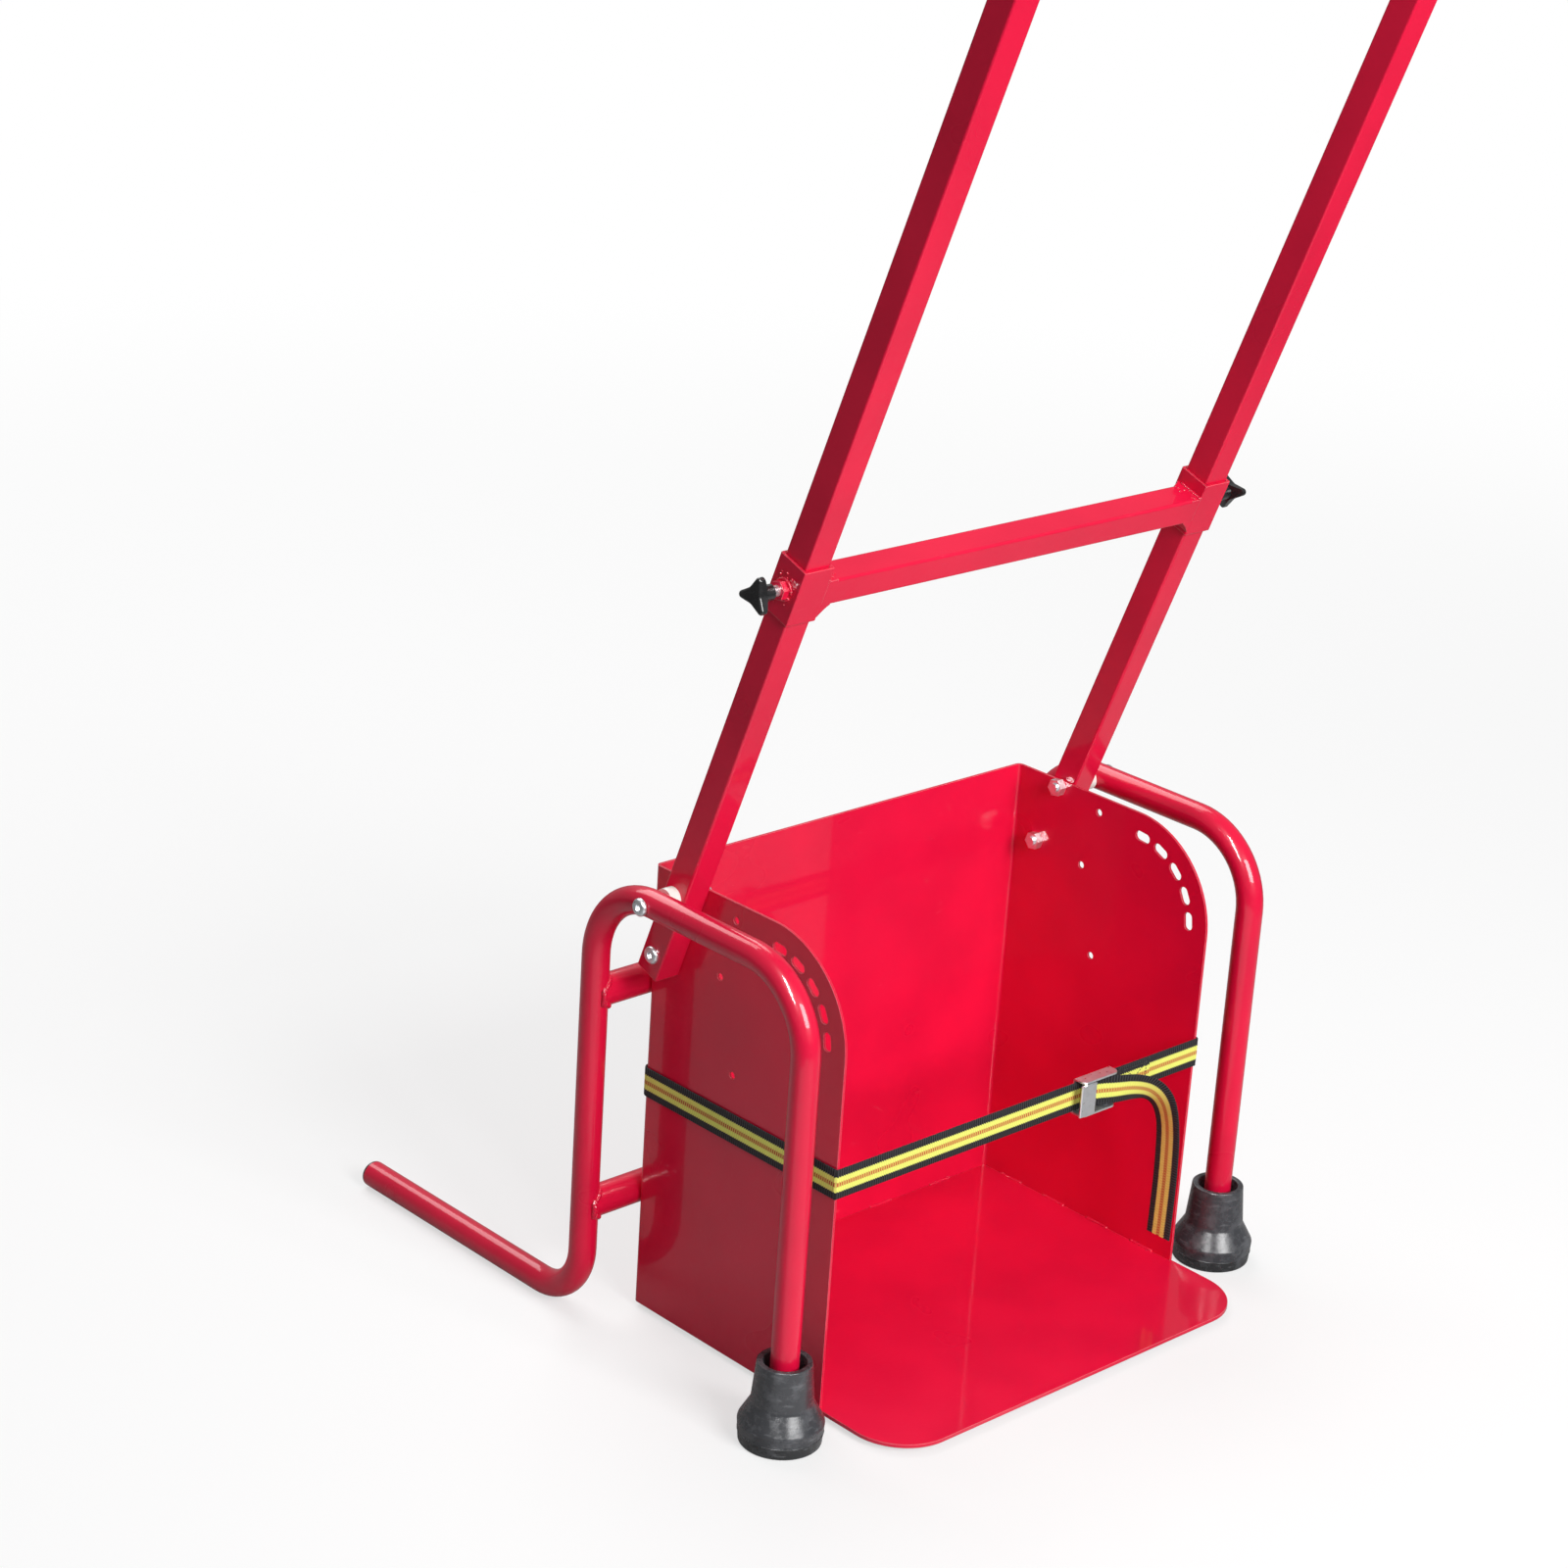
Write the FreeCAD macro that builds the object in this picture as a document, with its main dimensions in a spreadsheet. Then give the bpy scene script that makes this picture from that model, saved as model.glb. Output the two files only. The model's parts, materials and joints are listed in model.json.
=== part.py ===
import FreeCAD, Part
import math
import operator
import os
from types import SimpleNamespace

import Sketcher
from FreeCAD import Vector

# Drum tipper: a stand of bent tube carries a tilting drum cradle with a long handle.
# Millimetres, +Z up, front towards -Y, left is -X. The origin lies on the floor, midway
# between the side frames and straight below the tilt axis.

SIZES = {
    # Stand of bent round tube
    "tube_diameter": 22,
    "tube_wall": 2,
    "frame_spacing": 486,
    "pivot_height": 372,
    "rear_leg_back": 61,
    "leg_spread": 234,
    "skid_reach": 332,
    "arch_bend": 62,
    "skid_bend": 48,
    "cross_tube_diameter": 25,
    "cross_upper_height": 277.5,
    "cross_lower_height": 97,
    "plug_head": 3,
    "plug_depth": 16,
    "plug_round": 2.4,
    # Rubber feet
    "foot_height": 67,
    "foot_rim_diameter": 42,
    "foot_neck_diameter": 48,
    "foot_neck_height": 34,
    "foot_band_diameter": 66,
    "foot_band_height": 18,
    "foot_base_diameter": 63,
    "foot_mouth_diameter": 33,
    "foot_mouth_depth": 26,
    "foot_sole": 12,
    "foot_sole_round": 2,
    "foot_band_round": 4,
    "foot_neck_round": 8,
    "foot_rim_round": 1,
    # Drum cradle of bent sheet and the tongue under it
    "bay_width": 394,
    "sheet": 2,
    "sheet_bend": 3,
    "wing_depth": 217,
    "wing_rise": 5.5,
    "wing_corner": 82,
    "stop_gap": 0.3,
    "wing_hole_diameter": 6,
    "wing_hole_front": 45,
    "wing_hole_drop": 14,
    "wing_hole_mid_front": 31,
    "wing_hole_mid_drop": 64.5,
    "wing_hole_low_front": 50.5,
    "wing_hole_low_drop": 138.5,
    "slot_length": 15,
    "slot_width": 8,
    "slot_edge": 19,
    "slot_start_angle": 6,
    "slot_sweep_angle": 76,
    "floor_clearance": 4.5,
    "tongue_thickness": 3,
    "tongue_reach": 86,
    "tongue_corner": 46,
    # Handle bars of square tube
    "bar_size": 23.5,
    "bar_wall": 1.5,
    "bar_corner": 2,
    "bar_lean_angle": 20.4,
    "bar_foot": 74.5,
    "bar_top": 929.5,
    "cap_head": 3,
    "cap_depth": 14,
    "cap_round": 1.2,
    # Bolts and nuts
    "bolt_diameter": 8,
    "bolt_head_diameter": 14,
    "bolt_head_height": 3.4,
    "bolt_head_round": 2.4,
    "bolt_socket": 5,
    "bolt_socket_depth": 2,
    "bolt_overhang": 2,
    "lower_bolt_drop": 57,
    "nut_width": 13,
    "nut_height": 6.5,
    "spacer_diameter": 18,
    # Sliding retainer with its clamp knobs
    "retainer_rise": 287,
    "sleeve_length": 46,
    "sleeve_wall": 2,
    "sleeve_corner": 1,
    "sleeve_gap": 0.25,
    "crossbar_size": 22,
    "stud_length": 29,
    "stud_tip_gap": 0.1,
    "knob_stand_off": 6,
    "knob_hub_diameter": 12,
    "knob_hub_height": 8.5,
    "knob_lobe_reach": 21.5,
    "knob_waist": 7,
    "knob_lobe_round": 3,
    "knob_waist_round": 9,
    "knob_height": 8.5,
    "knob_back_rise": 6,
    "knob_edge": 2,
    "knob_crown": 1.5,
    # Strap with its cam buckle
    "strap_width": 25,
    "strap_thickness": 1.6,
    "strap_height": 197,
    "strap_gap": 0.3,
    "strap_fold": 0.5,
    "buckle_offset": 70,
    "buckle_length": 40,
    "buckle_left": 14,
    "buckle_sheet": 1.5,
    "buckle_side_gap": 1,
    "buckle_depth": 9.5,
    "buckle_round": 5,
    "cam_pin_diameter": 3,
    "cam_pin_left": 6,
    "cam_pin_out": 6,
    "cam_radius": 4.2,
    "cam_throw": 0.7,
    "cam_end_gap": 0.4,
    "thumb_left": 18,
    "thumb_right": 1,
    "thumb_out": 11.4,
    "thumb_thickness": 2.2,
    "loop_bar_diameter": 4,
    "loop_bar_right": 20,
    "webbing_end_left": 1,
    # Clearances
    "running_gap": 0.05,
    "seat_gap": 0.1,
    "overrun": 40,
}

# Counts, shares of a size and the full turn of a revolved piece
SLOT_COUNT = 5
KNOB_LOBES = 3
HEX_SIDES = 6
SLOT_END_SHARE = 0.49
BETWEEN_LOBES_SHARE = 0.5
FULL_TURN = 360

# Route of the free strap end from the cam outwards: along the strap, outwards, up,
# and how far the webbing has twisted from standing on edge to lying flat, in degrees.
TAIL_ROUTE = (
    (-1.0, 0.0, 0.0, 0),
    (11.0, -3.4, 0.0, 0),
    (22.0, -9.2, 0.0, 0),
    (42.0, -13.0, -1.5, 18),
    (62.0, -14.5, -9.0, 48),
    (77.0, -15.5, -24.0, 75),
    (85.0, -16.0, -46.0, 88),
    (87.5, -16.0, -76.0, 90),
    (88.0, -16.0, -110.0, 90),
    (87.0, -16.0, -146.0, 90),
)

OPERATIONS = {"+": operator.add, "-": operator.sub, "*": operator.mul, "/": operator.truediv}
SIDES = (("left", -1), ("right", 1))


class Size:
    """A length together with the sheet expression that gives it."""

    def __init__(self, value, text):
        self.value = value
        self.text = text

    @staticmethod
    def of(other):
        return other if isinstance(other, Size) else Size(other, f"({other:.12g})")

    def join(self, sign, other, swapped=False):
        first, second = (Size.of(other), self) if swapped else (self, Size.of(other))
        value = OPERATIONS[sign](first.value, second.value)
        return Size(value, f"({first.text} {sign} {second.text})")

    def __add__(self, other):
        return self.join("+", other)

    def __radd__(self, other):
        return self.join("+", other, True)

    def __sub__(self, other):
        return self.join("-", other)

    def __rsub__(self, other):
        return self.join("-", other, True)

    def __mul__(self, other):
        return self.join("*", other)

    def __rmul__(self, other):
        return self.join("*", other, True)

    def __truediv__(self, other):
        return self.join("/", other)

    def __neg__(self):
        return self.join("*", -1)


doc = FreeCAD.newDocument("DrumTipper")
sheet = doc.addObject("Spreadsheet::Sheet", "Sizes")
for row, (name, number) in enumerate(SIZES.items(), start=1):
    sheet.set(f"A{row}", name)
    sheet.set(f"B{row}", str(number))
    sheet.setAlias(f"B{row}", name)
doc.recompute()
d = SimpleNamespace(**{name: Size(number, f"Sizes.{name}") for name, number in SIZES.items()})
nodes = []

# Places worked out from the driving sizes
frame_x = d.frame_spacing / 2
tube_radius = d.tube_diameter / 2
tube_bore = tube_radius - d.tube_wall
rear_leg_y = d.rear_leg_back
front_leg_y = d.rear_leg_back - d.leg_spread
back_y = d.rear_leg_back - d.cross_tube_diameter / 2 - d.stop_gap
wing_front_y = back_y - d.wing_depth
wing_inner_x = d.bay_width / 2
wing_outer_x = wing_inner_x + d.sheet
wing_top = d.pivot_height + d.wing_rise
bar_half = d.bar_size / 2
bar_x = wing_outer_x + bar_half
bar_outer_x = bar_x + bar_half
bolt_radius = d.bolt_diameter / 2
bolt_hole = bolt_radius + d.seat_gap
sleeve_bore_half = bar_half + d.sleeve_gap
sleeve_half = sleeve_bore_half + d.sleeve_wall
clamp_seat_x = bar_x + sleeve_half
knob_x = clamp_seat_x + d.nut_height + d.knob_stand_off
strap_inner_x = wing_outer_x + d.strap_gap
strap_back_y = back_y + d.strap_gap
strap_front_y = wing_front_y - d.strap_gap - d.strap_thickness
strap_mid_y = strap_front_y + d.strap_thickness / 2


def keep(node, label):
    """Names a finished sub-part, which also names its file."""
    node.Label = label
    nodes.append(node)
    return node


def new_body(name):
    return doc.addObject("PartDesign::Body", name)


def vector_text(spot):
    return "vector({})".format("; ".join(Size.of(part).text for part in spot))


def place(node, spot=(0, 0, 0), turn=None, leaned=False):
    """Binds a placement; a leaned one is given along the handle bars, from the tilt axis."""
    axis, angle = turn or ((0, 0, 1), 0)
    text = f"placement({vector_text(spot)}; rotation({vector_text(axis)}; {angle}))"
    if leaned:
        lift = vector_text((0, 0, d.pivot_height))
        lean = f"rotation(vector(1; 0; 0); {d.bar_lean_angle.text})"
        text = f"placement({lift}; {lean}) * {text}"
    node.setExpression("Placement", text)


def outward(side):
    """The turn that points a piece's own axis away from the middle, to the given side."""
    return (0, 1, 0), 90 * side


def sketch_on(body, name, plane, lift=0):
    """A sketch on one of the body's own origin planes, lifted along the plane's normal."""
    sketch = body.newObject("Sketcher::SketchObject", name)
    planes = {feature.Role: feature for feature in body.Origin.OriginFeatures}
    sketch.AttachmentSupport = [(planes[plane], "")]
    sketch.MapMode = "FlatFace"
    if isinstance(lift, Size):
        sketch.setExpression("AttachmentOffset.Base.z", lift.text)
    return sketch


def pin_point(sketch, geometry, point, across, up):
    """Ties a point of the sketch to its two distances from the sketch's origin."""
    for kind, axis, distance in (("DistanceX", -2, across), ("DistanceY", -1, up)):
        if isinstance(distance, Size):
            limit = Sketcher.Constraint(kind, -1, 1, geometry, point, distance.value)
            index = sketch.addConstraint(limit)
            sketch.setExpression(f"Constraints[{index}]", distance.text)
        else:
            sketch.addConstraint(Sketcher.Constraint("PointOnObject", geometry, point, axis))


def set_radius(sketch, geometry, radius):
    index = sketch.addConstraint(Sketcher.Constraint("Radius", geometry, radius.value))
    sketch.setExpression(f"Constraints[{index}]", radius.text)


def circle(sketch, across, up, radius):
    middle = Vector(Size.of(across).value, Size.of(up).value, 0)
    index = sketch.addGeometry(Part.Circle(middle, Vector(0, 0, 1), radius.value))
    pin_point(sketch, index, 3, across, up)
    set_radius(sketch, index, radius)


def chain(sketch, corners, closed=True):
    """Straight runs through the corners; a corner's third entry is its rounding radius."""
    spots = [Vector(Size.of(corner[0]).value, Size.of(corner[1]).value, 0) for corner in corners]
    count = len(spots)
    runs = count if closed else count - 1
    arrive, leave, middle = list(spots), list(spots), {}
    for i, corner in enumerate(corners):
        if len(corner) == 3:
            back = (spots[i - 1] - spots[i]).normalize()
            ahead = (spots[(i + 1) % count] - spots[i]).normalize()
            half = back.getAngle(ahead) / 2
            arrive[i] = spots[i] + back * (corner[2].value / math.tan(half))
            leave[i] = spots[i] + ahead * (corner[2].value / math.tan(half))
            middle[i] = spots[i] + (back + ahead).normalize() * (corner[2].value / math.sin(half))
    lines = []
    for i in range(runs):
        run = Part.LineSegment(leave[i], arrive[(i + 1) % count])
        lines.append(sketch.addGeometry(run))
    for i, corner in enumerate(corners):
        before = lines[i - 1] if closed or i > 0 else None
        after = lines[i] if i < runs else None
        if i in middle:
            round_corner(sketch, corner, before, after, arrive[i], leave[i], middle[i])
            continue
        if before is not None and after is not None:
            sketch.addConstraint(Sketcher.Constraint("Coincident", before, 2, after, 1))
        geometry, point = (after, 1) if after is not None else (before, 2)
        pin_point(sketch, geometry, point, corner[0], corner[1])


def round_corner(sketch, corner, before, after, arrive, leave, middle):
    """An arc tangent to both runs, with the sharp corner kept as the point that is pinned."""
    start, end = arrive - middle, leave - middle
    forward = start.cross(end).z > 0
    low, high = (start, end) if forward else (end, start)
    low_angle = math.atan2(low.y, low.x)
    high_angle = math.atan2(high.y, high.x)
    if high_angle < low_angle:
        high_angle += 2 * math.pi
    round_line = Part.Circle(middle, Vector(0, 0, 1), corner[2].value)
    arc = sketch.addGeometry(Part.ArcOfCircle(round_line, low_angle, high_angle))
    first, last = (1, 2) if forward else (2, 1)
    sketch.addConstraint(Sketcher.Constraint("Tangent", before, 2, arc, first))
    sketch.addConstraint(Sketcher.Constraint("Tangent", arc, last, after, 1))
    set_radius(sketch, arc, corner[2])
    sharp = Vector(Size.of(corner[0]).value, Size.of(corner[1]).value, 0)
    point = sketch.addGeometry(Part.Point(sharp), True)
    sketch.addConstraint(Sketcher.Constraint("PointOnObject", point, 1, before))
    sketch.addConstraint(Sketcher.Constraint("PointOnObject", point, 1, after))
    pin_point(sketch, point, 1, corner[0], corner[1])


def square(sketch, half, corner, across=0, up=0):
    """A square with rounded corners round a middle point."""
    signs = ((-1, -1), (1, -1), (1, 1), (-1, 1))
    chain(sketch, [(across + half * x, up + half * y, corner) for x, y in signs])


def ring_of_points(count, radius, start_share=0.0):
    """Points evenly spaced on a circle, as sketch distances."""
    angles = [2 * math.pi * (i + start_share) / count for i in range(count)]
    return [(radius * math.cos(angle), radius * math.sin(angle)) for angle in angles]


def pad(body, sketch, length, symmetric=False):
    feature = body.newObject("PartDesign::Pad", "Pad")
    feature.Profile = sketch
    feature.SideType = "Symmetric" if symmetric else "One side"
    feature.setExpression("Length", length.text)
    return feature


def cut_through(body, sketch, both_ways=True, forward=False):
    """Cuts the sketch's outline through all of the body, and makes sure that it cut."""
    doc.recompute()
    volume = body.Shape.Volume
    feature = body.newObject("PartDesign::Pocket", "Pocket")
    feature.Profile = sketch
    feature.Type = "ThroughAll"
    feature.SideType = "Symmetric" if both_ways else "One side"
    feature.Reversed = forward
    doc.recompute()
    if body.Shape.Volume >= volume:
        raise RuntimeError(f"{body.Name}: {sketch.Name} cut nothing")
    return feature


def cut_to_depth(body, sketch, depth):
    doc.recompute()
    volume = body.Shape.Volume
    feature = body.newObject("PartDesign::Pocket", "Pocket")
    feature.Profile = sketch
    feature.setExpression("Length", depth.text)
    doc.recompute()
    if body.Shape.Volume >= volume:
        raise RuntimeError(f"{body.Name}: {sketch.Name} cut nothing")
    return feature


def revolve(body, sketch):
    feature = body.newObject("PartDesign::Revolution", "Revolution")
    feature.Profile = sketch
    feature.ReferenceAxis = (sketch, ["V_Axis"])
    feature.Angle = FULL_TURN
    return feature


def groove(body, sketch):
    """Turns the sketch's outline out of the body, and makes sure that it cut."""
    doc.recompute()
    volume = body.Shape.Volume
    feature = body.newObject("PartDesign::Groove", "Groove")
    feature.Profile = sketch
    feature.ReferenceAxis = (sketch, ["V_Axis"])
    feature.Angle = FULL_TURN
    doc.recompute()
    if body.Shape.Volume >= volume:
        raise RuntimeError(f"{body.Name}: {sketch.Name} cut nothing")
    return feature


def round_edges(body, radius, wanted):
    """Rounds the edges whose middle and direction the test accepts."""
    doc.recompute()
    last = body.Tip
    names = []
    for i, edge in enumerate(last.Shape.Edges, start=1):
        if wanted(edge):
            names.append(f"Edge{i}")
    feature = body.newObject("PartDesign::Fillet", "Fillet")
    feature.Base = (last, names)
    feature.setExpression("Radius", radius.text)
    return feature


def group(label, bodies):
    compound = doc.addObject("Part::Compound", label)
    compound.Links = bodies
    return keep(compound, label)


# Stand

def side_frame(label, side):
    """One tube bent into skid, rear leg, arch and front leg, drilled across for the pivot bolt."""
    body = new_body(label)
    path = sketch_on(body, "Path", "YZ_Plane")
    route = [
        (d.skid_reach, tube_radius),
        (rear_leg_y, tube_radius, d.skid_bend),
        (rear_leg_y, d.pivot_height, d.arch_bend),
        (front_leg_y, d.pivot_height, d.arch_bend),
        (front_leg_y, d.foot_sole),
    ]
    chain(path, route, closed=False)
    section = sketch_on(body, "Section", "XZ_Plane", -d.skid_reach)
    circle(section, 0, tube_radius, tube_radius)
    circle(section, 0, tube_radius, tube_bore)
    doc.recompute()
    pipe = body.newObject("PartDesign::AdditivePipe", "Tube")
    pipe.Profile = section
    pipe.Spine = path
    hole = sketch_on(body, "PivotHole", "YZ_Plane")
    circle(hole, 0, d.pivot_height, bolt_radius + d.running_gap)
    cut_through(body, hole)
    place(body, (frame_x * side, 0, 0))
    return keep(body, label)


def solid_rod(name, radius, length, spot, turn=None):
    """A round bar that starts at the spot, along Z or as turned."""
    rod = doc.addObject("Part::Cylinder", name)
    rod.setExpression("Radius", radius.text)
    rod.setExpression("Height", length.text)
    place(rod, spot, turn)
    return rod


def cross_tube(label, height):
    """A straight tube coped at both ends to seat on the rear legs."""
    along_x = ((0, 1, 0), 90)
    start = (-frame_x, rear_leg_y, height)
    outer = solid_rod(label + "_outer", d.cross_tube_diameter / 2, d.frame_spacing, start, along_x)
    bore_radius = d.cross_tube_diameter / 2 - d.tube_wall
    bore = solid_rod(label + "_bore", bore_radius, d.frame_spacing, start, along_x)
    legs = []
    for name, side in SIDES:
        foot = (frame_x * side, rear_leg_y, height - d.overrun)
        legs.append(solid_rod(f"{label}_cope_{name}", tube_radius, d.overrun * 2, foot))
    tools = doc.addObject("Part::MultiFuse", label + "_tools")
    tools.Shapes = [bore] + legs
    tube = doc.addObject("Part::Cut", label)
    tube.Base = outer
    tube.Tool = tools
    return keep(tube, label)


def rubber_foot(label, side):
    """Bell-shaped ferrule with a wide mouth that narrows on to the tube."""
    body = new_body(label)
    profile = sketch_on(body, "Profile", "XZ_Plane")
    socket = tube_radius + d.seat_gap
    corners = [
        (0, 0),
        (d.foot_base_diameter / 2, 0, d.foot_sole_round),
        (d.foot_band_diameter / 2, d.foot_band_height, d.foot_band_round),
        (d.foot_neck_diameter / 2, d.foot_neck_height, d.foot_neck_round),
        (d.foot_rim_diameter / 2, d.foot_height, d.foot_rim_round),
        (d.foot_mouth_diameter / 2, d.foot_height, d.foot_rim_round),
        (socket, d.foot_height - d.foot_mouth_depth),
        (socket, d.foot_sole),
        (0, d.foot_sole),
    ]
    chain(profile, corners)
    revolve(body, profile)
    place(body, (frame_x * side, front_leg_y, 0))
    return keep(body, label)


def skid_plug(label, side):
    """Push-in plug with a low round head that closes the skid's open end."""
    body = new_body(label)
    profile = sketch_on(body, "Profile", "XZ_Plane")
    stem = tube_bore - d.seat_gap
    corners = [
        (0, -d.plug_depth),
        (stem, -d.plug_depth),
        (stem, 0),
        (tube_radius - d.seat_gap, 0),
        (tube_radius - d.seat_gap, d.plug_head, d.plug_round),
        (0, d.plug_head),
    ]
    chain(profile, corners)
    revolve(body, profile)
    place(body, (frame_x * side, d.skid_reach, tube_radius), ((1, 0, 0), -90))
    return keep(body, label)


# Cradle

def cradle_shell():
    """Back plate and wings bent from one sheet, with holes and a row of slots in each wing."""
    body = new_body("cradle_shell")
    plan = sketch_on(body, "Plan", "XY_Plane", d.floor_clearance)
    outer_bend = d.sheet_bend + d.sheet
    corners = [
        (-wing_outer_x, wing_front_y),
        (-wing_inner_x, wing_front_y),
        (-wing_inner_x, back_y - d.sheet, d.sheet_bend),
        (wing_inner_x, back_y - d.sheet, d.sheet_bend),
        (wing_inner_x, wing_front_y),
        (wing_outer_x, wing_front_y),
        (wing_outer_x, back_y, outer_bend),
        (-wing_outer_x, back_y, outer_bend),
    ]
    chain(plan, corners)
    pad(body, plan, wing_top - d.floor_clearance)
    nose = Vector(0, wing_front_y.value, wing_top.value)

    def is_nose(edge):
        spot = edge.CenterOfMass
        return spot.distanceToPoint(Vector(spot.x, nose.y, nose.z)) < d.seat_gap.value

    round_edges(body, d.wing_corner, is_nose)
    holes = sketch_on(body, "Holes", "YZ_Plane")
    for forward, drop in (
        (d.wing_hole_front, d.wing_hole_drop),
        (d.wing_hole_mid_front, d.wing_hole_mid_drop),
        (d.wing_hole_low_front, d.wing_hole_low_drop),
    ):
        circle(holes, -forward, wing_top - drop, d.wing_hole_diameter / 2)
    circle(holes, 0, d.pivot_height, bolt_hole)
    cut_through(body, holes)
    lower = sketch_on(body, "LowerHole", "YZ_Plane")
    lean = f"rotation(vector(0; 0; 1); {d.bar_lean_angle.text})"
    lower.setExpression("AttachmentOffset", f"placement({vector_text((0, d.pivot_height, 0))}; {lean})")
    circle(lower, 0, -d.lower_bolt_drop, bolt_hole)
    cut_through(body, lower)
    slot = sketch_on(body, "Slot", "YZ_Plane")
    corner_middle = vector_text((wing_front_y + d.wing_corner, wing_top - d.wing_corner, 0))
    start = f"rotation(vector(0; 0; 1); {d.slot_start_angle.text})"
    slot.setExpression("AttachmentOffset", f"placement({corner_middle}; {start})")
    radius = d.wing_corner - d.slot_edge
    half_long, half_wide = d.slot_length / 2, d.slot_width / 2
    end_round = d.slot_width * SLOT_END_SHARE
    chain(slot, [
        (-half_long, radius - half_wide, end_round),
        (half_long, radius - half_wide, end_round),
        (half_long, radius + half_wide, end_round),
        (-half_long, radius + half_wide, end_round),
    ])
    first = cut_through(body, slot)
    row = body.newObject("PartDesign::PolarPattern", "SlotRow")
    row.Originals = [first]
    row.Axis = (slot, ["N_Axis"])
    row.setExpression("Angle", d.slot_sweep_angle.text)
    row.Occurrences = SLOT_COUNT
    body.Tip = row
    return keep(body, "cradle_shell")


def tongue_plate():
    """Floor plate welded between the wings, wider in front of them, with two well rounded corners."""
    body = new_body("tongue_plate")
    plan = sketch_on(body, "Plan", "XY_Plane", d.floor_clearance)
    front_y = wing_front_y - d.tongue_reach
    rear_y = back_y - d.sheet
    rear_corner = d.sheet_bend + d.seat_gap
    corners = [
        (-wing_inner_x, rear_y, rear_corner),
        (-wing_inner_x, wing_front_y),
        (-wing_outer_x, wing_front_y),
        (-wing_outer_x, front_y, d.tongue_corner),
        (wing_outer_x, front_y, d.tongue_corner),
        (wing_outer_x, wing_front_y),
        (wing_inner_x, wing_front_y),
        (wing_inner_x, rear_y, rear_corner),
    ]
    chain(plan, corners)
    pad(body, plan, d.tongue_thickness)
    return keep(body, "tongue_plate")


def tube_outline(sketch, size, across=0, up=0):
    """Outside and inside of a square tube."""
    square(sketch, size / 2, d.bar_corner, across, up)
    square(sketch, size / 2 - d.bar_wall, d.bar_corner - d.bar_wall, across, up)


def handle_bar(label, side):
    """Square tube on the outside of a wing, drilled for the pivot bolt and the lower bolt."""
    body = new_body(label)
    section = sketch_on(body, "Section", "XY_Plane", -d.bar_foot)
    tube_outline(section, d.bar_size)
    pad(body, section, d.bar_foot + d.bar_top)
    holes = sketch_on(body, "Holes", "YZ_Plane")
    circle(holes, 0, 0, bolt_hole)
    circle(holes, 0, -d.lower_bolt_drop, bolt_hole)
    cut_through(body, holes)
    place(body, (bar_x * side, 0, 0), leaned=True)
    return keep(body, label)


def handle_grip():
    """Square cross tube between the tops of the two bars."""
    body = new_body("handle_grip")
    section = sketch_on(body, "Section", "YZ_Plane")
    tube_outline(section, d.bar_size, 0, d.bar_top - bar_half)
    pad(body, section, wing_outer_x * 2, symmetric=True)
    place(body, leaned=True)
    return keep(body, "handle_grip")


def bar_cap(label, side):
    """Push-in cap on the open top of a bar."""
    body = new_body(label)
    head = sketch_on(body, "Head", "XY_Plane")
    square(head, bar_half, d.bar_corner)
    pad(body, head, d.cap_head)
    round_edges(body, d.cap_round, lambda edge: edge.BoundBox.ZMin > d.cap_head.value - d.seat_gap.value)
    stem = sketch_on(body, "Stem", "XY_Plane", -d.cap_depth)
    square(stem, bar_half - d.bar_wall - d.seat_gap, d.bar_corner - d.bar_wall)
    pad(body, stem, d.cap_depth)
    place(body, (bar_x * side, 0, d.bar_top), leaned=True)
    return keep(body, label)


def button_bolt(name, length):
    """Button-head bolt along its own axis, seat of the head at zero, with a hexagon socket."""
    body = new_body(name)
    profile = sketch_on(body, "Profile", "XZ_Plane")
    corners = [
        (0, -length),
        (bolt_radius, -length),
        (bolt_radius, 0),
        (d.bolt_head_diameter / 2, 0),
        (d.bolt_head_diameter / 2, d.bolt_head_height, d.bolt_head_round),
        (0, d.bolt_head_height),
    ]
    chain(profile, corners)
    revolve(body, profile)
    socket = sketch_on(body, "Socket", "XY_Plane", d.bolt_head_height)
    chain(socket, ring_of_points(HEX_SIDES, d.bolt_socket / math.sqrt(3)))
    cut_to_depth(body, socket, d.bolt_socket_depth)
    return body


def hex_nut(name):
    """Plain hexagon nut along its own axis, seat at zero."""
    body = new_body(name)
    plan = sketch_on(body, "Plan", "XY_Plane")
    chain(plan, ring_of_points(HEX_SIDES, d.nut_width / math.sqrt(3)))
    circle(plan, 0, 0, bolt_radius + d.running_gap)
    pad(body, plan, d.nut_height)
    return body


def pivot_bolt(label, side):
    """Runs from outside the arch through tube, spacer, bar and wing to its nut."""
    seat_x = frame_x + tube_radius + d.stop_gap
    body = button_bolt(label, seat_x - wing_inner_x + d.nut_height + d.bolt_overhang)
    place(body, (seat_x * side, 0, 0), outward(side), leaned=True)
    return keep(body, label)


def pivot_spacer(label, side):
    """White plastic spacer that keeps the bar clear of the arch tube."""
    body = new_body(label)
    plan = sketch_on(body, "Plan", "XY_Plane")
    circle(plan, 0, 0, d.spacer_diameter / 2)
    circle(plan, 0, 0, bolt_radius + d.running_gap)
    pad(body, plan, frame_x - tube_radius - d.stop_gap - bar_outer_x)
    place(body, (bar_outer_x * side, 0, 0), outward(side), leaned=True)
    return keep(body, label)


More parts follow.
